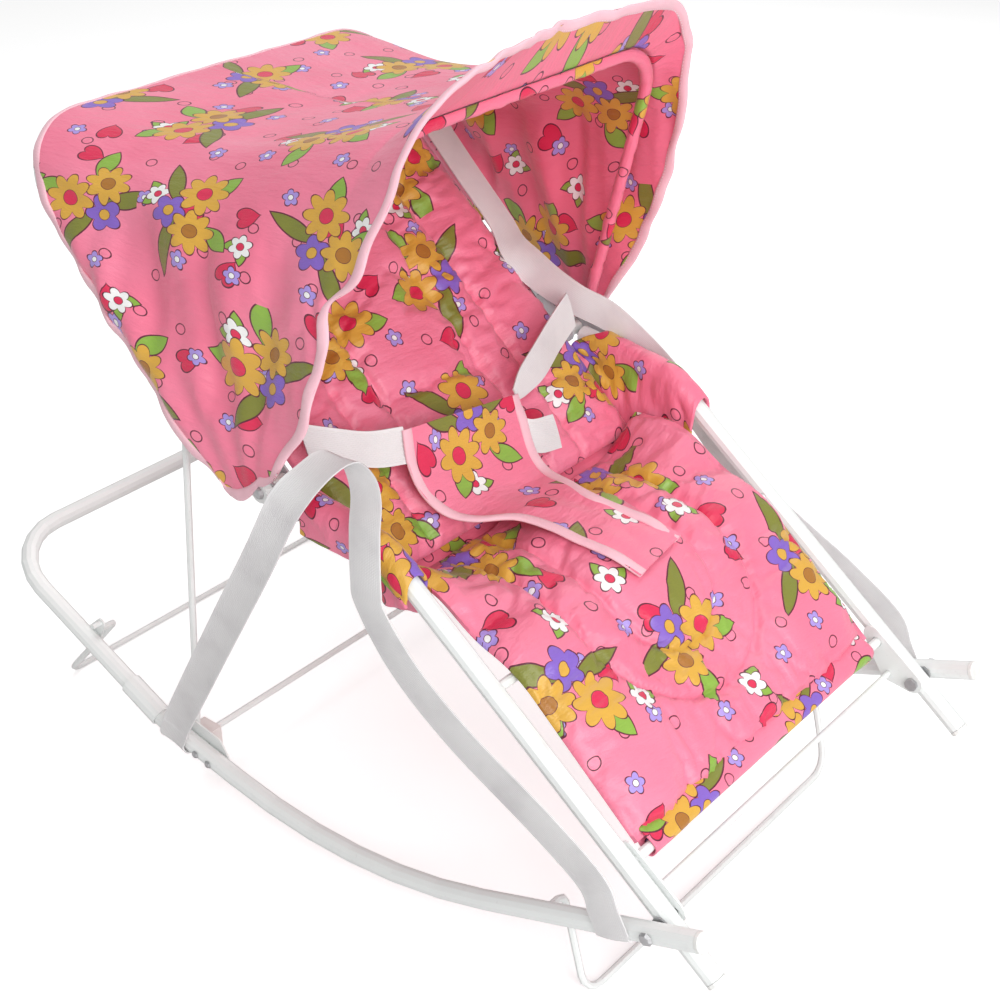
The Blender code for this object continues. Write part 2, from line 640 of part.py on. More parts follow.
def place_along(line, distance):
    """Point and forward direction at a distance along a line of points."""
    for one, other in zip(line, line[1:]):
        step = (other - one).length
        if distance <= step or other is line[-1]:
            return one + (other - one) * distance / step, (other - one).normalized()
        distance -= step


def thickness_at(along, across, centre, open_end):
    """Pad thickness: a crown that dips into the sewn channels and the edges."""
    inward = (along - centre) * open_end
    out = hypot(max(-inward, 0), across)
    dip = sum(exp(-((out - spot) / CHANNEL_W) ** 2) for spot in CHANNEL_SPOTS)
    edge = smooth((PAD_HALF - abs(across)) / 0.02)
    return PAD_EDGE_T + edge * (PAD_CROWN - CHANNEL_DEPTH * min(1, dip))


def pad(surface, length, centre, open_end):
    """A quilted pad: rings of points round the channels, out to the pad's edge."""
    inner = [0, 0.025]
    for spot in CHANNEL_SPOTS:
        inner += [spot - 2 * CHANNEL_W, spot - CHANNEL_W, spot, spot + CHANNEL_W, spot + 2 * CHANNEL_W]
    straight = 6
    around = 12
    end = 0 if open_end < 0 else length
    edge_end = length - end

    def outline(out):
        """Points (along, across) of the ring at the distance from the middle line."""
        run = [end + (centre - end) * i / straight for i in range(straight)]
        arc = [-pi / 2 + pi * i / around for i in range(around + 1)]
        near = [(along, -out) for along in run]
        bend = [(centre - open_end * out * cos(a), out * sin(a)) for a in arc]
        return near + bend + [(along, out) for along in reversed(run)]

    def border():
        """Points of the pad's edge that match the rings."""
        points = []
        for along, across in outline(1):
            dx, dy = (along - centre) if abs(across) < 0.9999 else 0, across
            if abs(along - centre) < 1e-6 or abs(across) > 0.9999:
                points.append((along, PAD_HALF if across > 0 else -PAD_HALF))
                continue
            reach = abs(edge_end - centre) / abs(dx) if dx else 9
            reach = min(reach, PAD_HALF / abs(dy) if dy else 9)
            points.append((centre + dx * reach, dy * reach))
        return points

    rings = [outline(out) for out in inner]
    last, rim = rings[-1], border()
    for share in (0.35, 0.75, 1):
        rings.append([
            (a + (c - a) * share, b + (d - b) * share) for (a, b), (c, d) in zip(last, rim)])
    top = grid([[surface(a, b, thickness_at(a, b, centre, open_end)) for a, b in row] for row in rings])
    under = grid([[surface(a, b, 0) for a, b in row] for row in rings])
    shape = joined(top, under)
    edges = [e for e in shape.edges if e.is_boundary]
    bmesh.ops.bridge_loops(shape, edges=edges)
    bmesh.ops.recalc_face_normals(shape, faces=shape.faces)
    return shape


def over_seat(s, n):
    """A point of the seat's side plane, from the front pivot."""
    return PIVOT + s * SEAT + n * SEAT_UP


seat_line = rounded_path(
    [over_seat(HEM_AT + SEAT_PAD_START, -ROD_DROP - PAD_EDGE_T / 2),
     over_seat(KNEE_AT + CREST_PAST, ROD_D / 2 - ROD_DROP + CREST_RISE),
     over_seat(0.262, -0.022), over_seat(0.306, -0.066)],
    [0.10, 0.06])
SEAT_PAD_LENGTH = sum((b - a).length for a, b in zip(seat_line, seat_line[1:]))


def seat_surface(along, across, height):
    """A point of the seat pad: along it from the hem, across it, and above its underside."""
    point, ahead = place_along(seat_line, along)
    up = Vector((-ahead.z, 0, ahead.x)) if ahead.x > 0 else Vector((ahead.z, 0, -ahead.x))
    rise = SIDE_RISE * smooth((abs(across) - SIDE_RISE_FROM) / (PAD_HALF - SIDE_RISE_FROM + 0.02))
    rise *= smooth((along - 0.17) / 0.08)
    return point + height * up + Vector((0, across, rise))


def back_surface(along, across, height):
    """A point of the back pad: up the backrest, across it, and above its underside."""
    spot = BACK_PAD_LOW + along
    inner_r = BACK_CORNER_R - POCKET_OUTER - 0.001
    past = max(0, spot - (BACK_LENGTH - BACK_CORNER_R))
    reach = SEAT_Y - BACK_CORNER_R + max(0, inner_r ** 2 - past ** 2) ** 0.5
    return at_y(on_back(spot, BACK_LIFT + height), across * min(1, reach / PAD_HALF))


POCKET_INNER = TUBE_D / 2 + 2 * GAP
POCKET_OUTER = POCKET_INNER + CASING_T
BACK_PAD_LENGTH = BACK_LENGTH - POCKET_OUTER - GAP - BACK_PAD_LOW
add("seat_pad", pad(seat_surface, SEAT_PAD_LENGTH, SEAT_CENTRE_AT, 1), PINK_FABRIC, seat_axis)
add("back_pad", pad(back_surface, BACK_PAD_LENGTH, BACK_PAD_LENGTH - 0.13, -1), PINK_FABRIC, back_axis)

CASING_Y = 0.150
add("hem_casing", ring(at_y(HEM, -CASING_Y), at_y(HEM, CASING_Y), clear_radius(ROD_D),
                       clear_radius(ROD_D) + CASING_T), PINK_FABRIC, seat_axis)

pocket_start = HINGE + SLEEVE_FROM * BACK
sheet("backrest_pocket", sweep(rounded_path(
    [at_y(pocket_start, -SEAT_Y), at_y(BACK_TOP, -SEAT_Y), at_y(BACK_TOP, SEAT_Y),
     at_y(pocket_start, SEAT_Y)], [BACK_CORNER_R, BACK_CORNER_R]),
    2 * POCKET_INNER, TUBE_SIDES, capped=False), PINK_FABRIC, CASING_T, back_axis, offset=1)

# Bucket sides: padded fabric that wraps over each armrest tube and hangs inside it
SIDE_T = 0.003
SIDE_WRAP_R = TUBE_D / 2 + SIDE_T / 2 + 3 * GAP
SIDE_FROM = 0.058
SIDE_TO = 0.145
SIDE_STEPS = 9
SIDE_LIP = 0.020
SIDE_TUCK = 0.003
SIDE_LOW = Vector((0.0625, 0, 0.268))
SIDE_SLOPE = 0.216
armrest_line = rounded_path([HINGE, BEND, PIVOT], [SEAT_BEND_R])


def side_profile(centre, ahead, lip, floor_z):
    """Upright cross-section of the bucket side round the tube: (distance from the middle, height)."""
    rise = SIDE_WRAP_R / ahead.x
    points = [(SIDE_WRAP_R, -lip), (SIDE_WRAP_R, -lip / 2)]
    points += [(SIDE_WRAP_R * cos(pi * i / 8), rise * sin(pi * i / 8)) for i in range(9)]
    drop = centre.z - floor_z
    points += [(-SIDE_WRAP_R - SIDE_TUCK * (i / 4) ** 2, -drop * i / 4) for i in range(1, 5)]
    return [(SEAT_Y + outward, centre.z + rise) for outward, rise in points]


def side_floor(x):
    """Height of the bucket side's lower edge, which follows the back pad and the seat pad."""
    return max(HINGE.z - (x - HINGE.x) * tan(BACK_SLOPE), SIDE_LOW.z + (x - SIDE_LOW.x) * SIDE_SLOPE)


for hand, side in SIDES.items():
    rows = []
    for i in range(SIDE_STEPS + 1):
        share = i / SIDE_STEPS
        centre, ahead = place_along(armrest_line, SIDE_FROM + (SIDE_TO - SIDE_FROM) * share)
        lip = SIDE_LIP * (1 - 0.8 * smooth(share))
        profile = side_profile(centre, ahead, lip, side_floor(centre.x))
        rows.append([Vector((centre.x, side * y, z)) for y, z in profile])
    if side < 0:
        rows.reverse()
    sheet("seat_side_" + hand, grid(rows), PINK_FABRIC, SIDE_T, seat_axis)


def curve_through(points, per_span=3):
    """Smooth line through the points (Catmull-Rom)."""
    ends = [2 * points[0] - points[1], *points, 2 * points[-1] - points[-2]]
    line = []
    for a, b, c, d in zip(ends, ends[1:], ends[2:], ends[3:]):
        for i in range(per_span):
            t = i / per_span
            line.append(0.5 * (2 * b + (c - a) * t + (2 * a - 5 * b + 4 * c - d) * t * t
                               + (3 * b - a - 3 * c + d) * t ** 3))
    return line + [points[-1]]


def ribbon(name, spots, width, thickness, look, carrier, across_steps=1, per_span=3):
    """A band through (point, direction across) pairs, with an optional width factor."""
    line = curve_through([Vector(spot[0]) for spot in spots], per_span)
    turns = curve_through([Vector(spot[1]).normalized() for spot in spots], per_span)
    wide = curve_through([Vector((spot[2] if len(spot) > 2 else 1, 0, 0)) for spot in spots], per_span)
    rows = []
    for point, turn, share in zip(line, turns, wide):
        half = turn.normalized() * width * share.x / 2
        rows.append([point + half * (2 * i / across_steps - 1) for i in range(across_steps + 1)])
    return sheet(name, grid(rows), look, thickness, carrier)


# Harness: a crotch panel on the seat and a webbing belt on each side
PANEL_W = 0.064
PANEL_T = 0.0025
PANEL_H = PAD_EDGE_T + PAD_CROWN + PANEL_T / 2 + 3 * GAP
LEAN = (-0.35, 0, 0.94)


def by_hinge(x, y, z):
    """A point given from the middle of the hinge line."""
    return HINGE + Vector((x, y, z))


def on_pad(along, skew, lift=0.0):
    """A spot of the crotch panel over the seat pad, with its direction across the panel."""
    across = 0.0095 - 0.275 * (along - 0.150)
    spot = seat_surface(along, across, PANEL_H + lift)
    return (spot, seat_surface(along - 0.01 * skew, across - 0.01, PANEL_H + lift) - spot)


ribbon("crotch_panel", [
    on_pad(0.150, 0.12), on_pad(0.168, 0.11), on_pad(0.185, 0.10), on_pad(0.200, 0.08, 0.001),
    on_pad(0.217, 0.05, 0.005),
    (by_hinge(0.1230, -0.0120, -0.0485), (0.04, -1, 0.02), 1.2),
    (by_hinge(0.0985, -0.0220, -0.0450), (0.08, -1, 0.04), 1.65),
    (by_hinge(0.0815, -0.0273, -0.0375), (0.06, -1, 0.00), 1.9),
    (by_hinge(0.0670, -0.0284, -0.0220), (0.02, -1, 0.00), 2.08),
    (by_hinge(0.0555, -0.0258, -0.0050), (0, -1, 0.04), 2.16),
    (by_hinge(0.0465, -0.0217, 0.0130), (0, -1, 0.16), 2.18)],
    PANEL_W, PANEL_T, PINK_FABRIC, seat_axis, across_steps=6, per_span=2)
ribbon("waist_belt_right", [
    (by_hinge(0.0500, -0.0960, 0.0110), LEAN), (by_hinge(0.0375, -0.1150, 0.0145), LEAN),
    (by_hinge(0.0235, -0.1400, 0.0230), LEAN), (by_hinge(0.0135, -0.1610, 0.0310), LEAN)],
    WEBBING_W, WEBBING_T, WEBBING, seat_axis, per_span=2)
ribbon("waist_belt_left", [
    (by_hinge(0.0455, 0.0506, 0.0080), LEAN), (by_hinge(0.0395, 0.0800, 0.0090), LEAN),
    (by_hinge(0.0235, 0.1250, 0.0170), LEAN), (by_hinge(0.0135, 0.1610, 0.0270), LEAN)],
    WEBBING_W, WEBBING_T, WEBBING, seat_axis, per_span=2)

# Carry straps: webbing looped round the rails, over the armrests
LOOP_R = TUBE_D / 2 + WEBBING_T / 2 + 3 * GAP
STRAP_Y = RUNNER_Y + LOOP_R
STRAP_REAR_AT = 0.018
STRAP_FRONT_AT = 0.030


def strap_ends(side, rail_point, along, leaving):
    """Turn of a strap round a rail: from below it to its outer side, and on towards a spot."""
    spots = []
    for i in range(5):
        turn = pi / 8 * i
        outward = Vector((0, side * sin(turn), -cos(turn)))
        spots.append((at_y(rail_point, side * RUNNER_Y) + LOOP_R * outward, along))
    beside = spots[-1][0]
    for share in (0.12, 0.4):
        across = Vector(along).lerp(Vector(leaving[1]), share)
        spots.append((beside.lerp(leaving[0], share), across))
    return spots


def strap_side(side, origin, shift, across):
    """A spot of the strap beside the rail, with its direction across in the side plane."""
    return (at_y(origin + Vector((shift[0], 0, shift[1])), side * STRAP_Y), (across[0], 0, across[1]))


def strap_front(side):
    """The strap from beside the armrest down to its turn round the runner's front."""
    last = strap_side(side, PIVOT, (-0.0475, 0.025), (0.72, 0.69))
    rail_point = PIVOT + STRAP_FRONT_AT * back_at(-RUNNER_FRONT_SLOPE)
    turn = strap_ends(side, rail_point, -back_at(-RUNNER_FRONT_SLOPE), last)
    return [
        strap_side(side, BEND, (0.0105, -0.033), (0.98, 0.20)),
        strap_side(side, BEND, (0.0425, -0.072), (0.72, 0.69)),
        strap_side(side, PIVOT, (-0.1655, 0.088), (0.55, 0.83)),
        strap_side(side, PIVOT, (-0.0925, 0.052), (0.50, 0.86)),
        last,
        *reversed(turn)]


first = strap_side(-1, KINK, (0.0327, 0.0279), (0.95, -0.30))
ribbon("carry_strap_right", [
    *strap_ends(-1, KINK - STRAP_REAR_AT * RUNNER_REAR, -RUNNER_REAR, first),
    first,
    strap_side(-1, HINGE, (-0.0475, -0.1500), (0.86, -0.50)),
    strap_side(-1, HINGE, (0.0155, -0.0450), (0.86, -0.50)),
    (by_hinge(0.0375, -0.2060, 0.0090), (0.90, 0, -0.44)),
    (by_hinge(0.0515, -0.1960, 0.0390), (0.99, 0, -0.10)),
    (by_hinge(0.0685, -0.1840, 0.0505), (0.97, 0.15, -0.05)),
    (by_hinge(0.0865, -0.1810, 0.0430), (0.97, 0.10, -0.05)),
    (by_hinge(0.0985, -0.1860, 0.0270), (0.98, 0, 0.05)),
    (by_hinge(0.1085, -0.1990, 0.0080), (0.99, 0, 0.10)),
    strap_side(-1, BEND, (0.0065, -0.012), (1, 0.05)),
    *strap_front(-1)], WEBBING_W, WEBBING_T, WEBBING, None)


def strap_on_back(along, y):
    """A spot of the left strap where it lies on the backrest's edge."""
    return (at_y(on_back(along, POCKET_OUTER + 2 * GAP + WEBBING_T / 2), y), (0, 1, 0))


ribbon("carry_strap_left", [
    strap_on_back(0.262, 0.178), strap_on_back(0.215, 0.178), strap_on_back(0.165, 0.176),
    strap_on_back(0.115, 0.175),
    (by_hinge(-0.0535, 0.1730, 0.0680), (0.10, 0.95, 0.30)),
    (by_hinge(-0.0225, 0.1730, 0.0500), (0.45, 0.45, 0.75)),
    (by_hinge(0.0105, 0.1750, 0.0350), (0.35, 0.10, 0.93)),
    (by_hinge(0.0395, 0.1840, 0.0215), (0.25, 0, 0.97)),
    (by_hinge(0.0615, 0.1970, 0.0000), (0.40, -0.05, 0.91)),
    (by_hinge(0.0870, 0.2050, -0.0250), (0.55, 0, 0.83)),
    strap_side(1, BEND, (0.0085, -0.042), (0.65, 0.76)),
    *strap_front(1)[1:]], WEBBING_W, WEBBING_T, WEBBING, None)

# Hood canopy: fabric over the backrest, the front bow and a visor beyond it
HOOD_SIDE_Y = BOW_Y + BOW_D / 2 + FABRIC_T / 2 + 2 * GAP
HOOD_SIDE_STEPS = 8
HOOD_TOP_STEPS = 6
HOOD_ARC_STEPS = 5
HOOD_ROWS = 9
HOOD_FOLDS = 3
FOLD_DEPTH = 0.004
SKIRT = HINGE + Vector((-0.0405, 0, -0.0155))
SKIRT_STEP = 0.008
OVER_TUBE = radians(-9)
HOOD_FORE = up_from(HOOD_SLOPE)
COVER_CORNER_R = 0.046
HOOD_COVER = BOW_D / 2 + FABRIC_T / 2 + 2 * GAP
POCKET_COVER = POCKET_OUTER + FABRIC_T / 2 + 4 * GAP


def hoop(start, start_y, corner, corner_y, radius, bulge=Vector()):
    """Points of a hoop over the hood: up the left side, across the top, down the right."""
    start, corner = at_y(start, start_y), at_y(corner, corner_y)
    up = (corner - start).normalized()
    inward = Vector((0, -1, 0))
    rise_end = corner - radius * up
    half = []
    for i in range(HOOD_SIDE_STEPS):
        share = i / HOOD_SIDE_STEPS
        half.append(start.lerp(rise_end, share) + sin(pi * share) * bulge)
    for i in range(HOOD_ARC_STEPS):
        turn = pi / 2 * i / HOOD_ARC_STEPS
        half.append(rise_end + radius * (sin(turn) * up + (1 - cos(turn)) * inward))
    top = corner + radius * inward
    for i in range(HOOD_TOP_STEPS // 2):
        half.append(top.lerp(at_y(corner, 0), 2 * i / HOOD_TOP_STEPS))
    return half + [at_y(corner, 0)] + [at_y(point, -point.y) for point in reversed(half)]


def blend(one, other, share):
    """Points between two hoops."""
    return [a.lerp(b, share) for a, b in zip(one, other)]


rear_hoop = hoop(SKIRT, HOOD_SIDE_Y, BACK_TOP + POCKET_COVER * BACK, HOOD_SIDE_Y, BACK_CORNER_R)
top_hoop = hoop(SKIRT + SKIRT_STEP * BACK_UP, HOOD_SIDE_Y,
                BACK_TOP + POCKET_COVER * up_from(OVER_TUBE), HOOD_SIDE_Y, BACK_CORNER_R)
bow_hoop = hoop(HINGE + CANOPY_FOOT * HOOD, HOOD_SIDE_Y,
                HOOD_TOP + HOOD_COVER * HOOD, HOOD_TOP_Y + HOOD_COVER, COVER_CORNER_R)
edge_hoop = hoop(HINGE + EDGE_FOOT * HOOD + EDGE_FOOT_FORE * HOOD_FORE, HOOD_SIDE_Y,
                 HOOD_TOP + VISOR * HOOD + VISOR_FORE * HOOD_FORE, HOOD_TOP_Y + HOOD_COVER,
                 COVER_CORNER_R, EDGE_BULGE * HOOD_FORE)
rows = [rear_hoop]
for step in range(HOOD_ROWS + 1):
    share = step / HOOD_ROWS
    row = blend(top_hoop, bow_hoop, share)
    wave = FOLD_DEPTH * (1 - cos(2 * pi * HOOD_FOLDS * share)) / 2
    for i in range(1, HOOD_SIDE_STEPS + HOOD_ARC_STEPS):
        outward = wave * sin(pi * i / (HOOD_SIDE_STEPS + HOOD_ARC_STEPS))
        row[i].y += outward
        row[-1 - i].y -= outward
    rows.append(row)
rows += [blend(bow_hoop, edge_hoop, share) for share in (0.33, 0.67, 1)]
sheet("hood_canopy", grid(rows), PINK_FABRIC, FABRIC_T, hood_axis)
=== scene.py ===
from math import atan2, ceil, cos, exp, hypot, pi, radians, sin, tan

import bmesh
import bpy
from mathutils import Matrix, Vector, noise


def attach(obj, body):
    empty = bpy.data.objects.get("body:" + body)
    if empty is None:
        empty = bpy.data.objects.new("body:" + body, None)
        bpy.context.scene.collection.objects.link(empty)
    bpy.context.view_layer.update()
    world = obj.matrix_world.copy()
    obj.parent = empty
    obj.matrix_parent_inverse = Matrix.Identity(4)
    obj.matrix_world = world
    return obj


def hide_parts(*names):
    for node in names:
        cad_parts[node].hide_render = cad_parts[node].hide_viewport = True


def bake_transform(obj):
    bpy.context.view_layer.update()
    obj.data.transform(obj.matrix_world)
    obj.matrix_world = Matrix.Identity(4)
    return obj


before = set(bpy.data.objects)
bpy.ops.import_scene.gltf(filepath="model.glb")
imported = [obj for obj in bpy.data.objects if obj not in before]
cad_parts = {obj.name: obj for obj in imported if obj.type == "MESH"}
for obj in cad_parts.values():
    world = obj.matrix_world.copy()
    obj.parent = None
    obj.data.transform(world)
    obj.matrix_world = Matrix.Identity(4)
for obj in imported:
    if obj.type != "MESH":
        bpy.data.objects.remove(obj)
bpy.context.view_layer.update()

# Studio: one wide pale floor, four soft lamps and the photograph's camera. The floor is the whole
# background. It shines a little for the camera only, so that it looks nearly white.
scene = bpy.context.scene
scene.view_settings.view_transform = "Standard"

EYE = Vector((0.8091, -0.9178, 0.9754))
LOOK = Vector((-0.5528, 0.6615, -0.5067)).normalized()
LENS = 60.75
SENSOR = 36
SKY_STRENGTH = 0.46

camera = bpy.data.objects.new("camera", bpy.data.cameras.new("camera"))
camera.data.lens = LENS
camera.data.sensor_width = SENSOR
camera.location = EYE
camera.rotation_euler = LOOK.to_track_quat("-Z", "Y").to_euler()
scene.collection.objects.link(camera)
scene.camera = camera


def lamp(name, place, aim, size, power):
    """A square soft box that points at a spot."""
    light = bpy.data.lights.new(name, "AREA")
    light.shape = "SQUARE"
    light.size = size
    light.energy = power
    thing = bpy.data.objects.new(name, light)
    thing.location = place
    thing.rotation_euler = (Vector(aim) - Vector(place)).to_track_quat("-Z", "Y").to_euler()
    scene.collection.objects.link(thing)


MIDDLE = (0, 0, 0.3)
lamp("key_lamp", (1.8, -1.5, 1.8), MIDDLE, 1.2, 30)
lamp("top_lamp", (-0.2, 0.5, 2.7), MIDDLE, 1.8, 24)
lamp("front_lamp", (2.2, -0.5, 0.7), (0, 0, 0.45), 1.0, 20)
lamp("back_lamp", (-0.6, 2.0, 1.6), MIDDLE, 1.4, 12)

world = bpy.data.worlds.new("studio")
world.use_nodes = True
sky = world.node_tree.nodes["Background"]
sky.inputs["Color"].default_value = (1, 1, 1, 1)
sky.inputs["Strength"].default_value = SKY_STRENGTH
scene.world = world


class Shade:
    """A value in a material's nodes. Arithmetic on it adds Math nodes."""

    def __init__(self, tree, socket=None):
        self.tree = tree
        self.socket = socket

    def make(self, kind, sockets=(), out=0, **settings):
        """A node of a kind: its settings first, then its sockets' values or links."""
        node = self.tree.nodes.new(kind)
        for name, value in settings.items():
            setattr(node, name, value)
        for key, value in dict(sockets).items():
            if isinstance(value, Shade):
                self.tree.links.new(value.socket, node.inputs[key])
            else:
                node.inputs[key].default_value = value
        return Shade(self.tree, node.outputs[out])

    def math(self, operation, one, other=0.0):
        return self.make("ShaderNodeMath", {0: one, 1: other}, operation=operation)

    def __add__(self, other):
        return self.math("ADD", self, other)

    __radd__ = __add__

    def __sub__(self, other):
        return self.math("SUBTRACT", self, other)

    def __rsub__(self, other):
        return self.math("SUBTRACT", other, self)

    def __mul__(self, other):
        return self.math("MULTIPLY", self, other)

    __rmul__ = __mul__

    def __truediv__(self, other):
        return self.math("DIVIDE", self, other)

    def __lt__(self, other):
        return self.math("LESS_THAN", self, other)

    def __abs__(self):
        return self.math("ABSOLUTE", self)

    def floor(self):
        return self.math("FLOOR", self)

    def root(self):
        return self.math("SQRT", self)

    def cos(self):
        return self.math("COSINE", self)

    def sin(self):
        return self.math("SINE", self)

    def soft_step(self, low, high):
        """From 0 at low to 1 at high, smoothly."""
        return self.make("ShaderNodeMapRange", {0: self, 1: low, 2: high},
                         interpolation_type="SMOOTHSTEP")

    def split(self):
        """The X, Y and Z of a vector."""
        node = self.make("ShaderNodeSeparateXYZ", {0: self}).socket.node
        return [Shade(self.tree, socket) for socket in node.outputs]


def paint(under, over, mask):
    """A colour laid over another one as far as the mask says."""
    return mask.make("ShaderNodeMix", {0: mask, 6: under, 7: over}, out=2, data_type="RGBA")


def rgba(red, green, blue):
    return (red, green, blue, 1)


def material(name, roughness=0.5, metallic=0.0, **constants):
    """A Principled material: returns it, its shader node and a Shade to build on."""
    made = bpy.data.materials.new(name)
    made.use_nodes = True
    shader = made.node_tree.nodes["Principled BSDF"]
    shader.inputs["Roughness"].default_value = roughness
    shader.inputs["Metallic"].default_value = metallic
    for key, value in constants.items():
        shader.inputs[key.replace("_", " ")].default_value = value
    return made, shader, Shade(made.node_tree)


def feed(shader, name, value):
    """Links a Shade into a socket of the shader."""
    value.tree.links.new(value.socket, shader.inputs[name])


FLOOR_HALF = 3.2
FLOOR_SEEN = rgba(0.93, 0.93, 0.93)
FLOOR_GLOW = rgba(0.36, 0.36, 0.36)
FLOOR_LIT = rgba(0.72, 0.72, 0.72)
floor_mesh = bmesh.new()
bmesh.ops.create_grid(floor_mesh, x_segments=1, y_segments=1, size=FLOOR_HALF)
backdrop = bpy.data.objects.new("studio_floor", bpy.data.meshes.new("studio_floor"))
floor_mesh.to_mesh(backdrop.data)
floor_mesh.free()
scene.collection.objects.link(backdrop)
floor_paint, floor_shader, start = material("studio_floor", roughness=0.9)
camera_ray = start.make("ShaderNodeLightPath")
feed(floor_shader, "Base Color", paint(FLOOR_LIT, FLOOR_SEEN, camera_ray))
feed(floor_shader, "Emission Color", paint(rgba(0, 0, 0), FLOOR_GLOW, camera_ray))
floor_shader.inputs["Emission Strength"].default_value = 1.0
backdrop.data.materials.append(floor_paint)

# Tube frame: bent steel tube and wire with a white powder coat, half glossy with a faint orange
# peel. These are the CAD's own solids. Soft patches and specks of the coat are rubbed greyer.
COAT_WHITE = rgba(0.82, 0.84, 0.83)
COAT_WORN = rgba(0.66, 0.67, 0.66)
ORANGE_PEEL = 0.00006


def grain(start, scale, detail=2.0, stretch=(1, 1, 1), source="Object", roughness=0.5):
    """Noise from 0 to 1 on Object coordinates, or on the cloth's own map."""
    if source == "Object":
        place = start.make("ShaderNodeTexCoord", out=3)
    else:
        place = start.make("ShaderNodeUVMap", uv_map=source)
    spread = start.make("ShaderNodeMapping", {"Vector": place, "Scale": stretch})
    return start.make("ShaderNodeTexNoise", {
        "Vector": spread, "Scale": scale, "Detail": detail, "Roughness": roughness})


def raised(height, depth, strength=1.0):
    """A Bump node over a height from 0 to 1, with the depth in metres."""
    return height.make("ShaderNodeBump", {
        "Strength": strength, "Distance": depth, "Height": height})


def finish(shader, colour, roughness, bump):
    """Links a shader's colour, roughness and bump."""
    feed(shader, "Base Color", colour)
    feed(shader, "Roughness", roughness)
    feed(shader, "Normal", bump)


def coat(name, white, worn, roughness):
    """Powder coat with soiling in soft patches and a fine orange peel."""
    made, shader, start = material(name, Coat_Weight=0.25, Coat_Roughness=0.15)
    patches = grain(start, 26, detail=4, roughness=0.65)
    specks = grain(start, 420, detail=1)
    worn_mask = patches.soft_step(0.56, 0.78) * 0.5 + specks.soft_step(0.70, 0.78) * 0.35
    finish(shader, paint(white, worn, worn_mask), patches * 0.16 + roughness,
           raised(grain(start, 750, detail=2), ORANGE_PEEL, 0.6))
    return made


def dress(made, *nodes):
    """Gives CAD nodes their finish."""
    for name in nodes:
        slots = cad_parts[name].data.materials
        slots.clear()
        slots.append(made)


HANDS = ("left", "right")


def pairs(*names):
    return [name + "_" + hand for name in names for hand in HANDS]


dress(coat("white_coat", COAT_WHITE, COAT_WORN, 0.26),
      "rear_arch_tube", "prop_wire", "front_stopper_wire", "rear_stopper_wire", "front_cross_wire",
      "hem_rod", "knee_rod", "backrest_tube", "hood_front_bow",
      *pairs("runner", "splice_sleeve", "splice_plate", "stopper_catch", "seat_tube", "gusset",
             "recline_hook"))
dress(coat("grey_coat", rgba(0.55, 0.56, 0.58), rgba(0.38, 0.39, 0.41), 0.34),
      *pairs("hinge_bracket", "hinge_plate"))

# Caps, clamps and bushes: moulded plastic with a fine spark-eroded grain.
# The caps are pushed into the tube ends; the clamps are a pinker white than the frame.


def moulded(name, colour, shade):
    """Injection-moulded plastic: fine grain, slightly uneven gloss."""
    made, shader, start = material(name)
    cloudy = grain(start, 60, detail=3)
    finish(shader, paint(colour, shade, cloudy.soft_step(0.35, 0.8)), cloudy * 0.15 + 0.36,
           raised(grain(start, 1400, detail=1), 0.00005, 0.5))
    return made


dress(moulded("cap_plastic", rgba(0.84, 0.84, 0.82), rgba(0.74, 0.74, 0.72)),
      *pairs("runner_cap", "seat_tube_cap", "hinge_bush"))
dress(moulded("clamp_plastic", rgba(0.82, 0.75, 0.73), rgba(0.70, 0.62, 0.60)),
      *pairs("splice_clamp"))

# Rivets: zinc-plated steel, turned and pressed.
# Their faces carry fine scratches, which are darker and rougher than the plating.
rivet_steel, rivet_shader, start = material("plated_steel", metallic=1.0)
scratches = grain(start, 300, detail=3, stretch=(1, 6, 1))
finish(rivet_shader, paint(rgba(0.62, 0.62, 0.63), rgba(0.46, 0.46, 0.47), scratches),
       scratches * 0.3 + 0.22, raised(scratches, 0.00004, 0.5))
dress(rivet_steel, *pairs("splice_rivet_rear", "splice_rivet_front", "pivot_rivet", "hinge_rivet",
                          "bracket_rivet", "plate_rivet"))

# Printed cloth: pink satin-faced polyester with a printed repeat, used for the seat, back and hood.
# The print is a plain garden repeat: posies of golden and violet flowers, hearts, rings and sprigs.
PINK = rgba(0.850, 0.180, 0.290)
PINK_LIGHT = rgba(0.880, 0.245, 0.365)
PINK_INSIDE = rgba(0.850, 0.165, 0.265)
GOLD = rgba(0.690, 0.385, 0.050)
GOLD_DEEP = rgba(0.400, 0.160, 0.020)
VIOLET = rgba(0.230, 0.120, 0.540)
LILAC = rgba(0.400, 0.290, 0.720)
LEAF = rgba(0.255, 0.440, 0.055)
OLIVE = rgba(0.210, 0.220, 0.030)
CRIMSON = rgba(0.700, 0.020, 0.085)
MAROON = rgba(0.110, 0.010, 0.030)
WHITE = rgba(0.860, 0.860, 0.850)
LINE = 0.0011


def scatter(u, v, size, seed, wander):
    """Cuts the cloth into staggered cells: each cell's own turned (x, y) in metres."""
    row_place = v / size + seed
    row = row_place.floor()
    column_place = u / size + row * 0.5 + seed * 0.37
    column = column_place.floor()
    cell = u.make("ShaderNodeCombineXYZ", {0: column, 1: row, 2: seed})
    dice = u.make("ShaderNodeTexWhiteNoise", {"Vector": cell}, out=1, noise_dimensions="3D")
    across, along, turn = dice.split()
    x = (column_place - column - 0.5 - (across - 0.5) * wander) * size
    y = (row_place - row - 0.5 - (along - 0.5) * wander) * size
    angle = turn * (2 * pi)
    c, s = angle.cos(), angle.sin()
    return x * c + y * s, y * c - x * s


def outlined(picture, field, line, colour):
    """Draws the shape inside which a field is below 1, with a dark line round it."""
    picture = paint(picture, MAROON, field < 1.0 + line)
    return paint(picture, colour, field < 1.0)


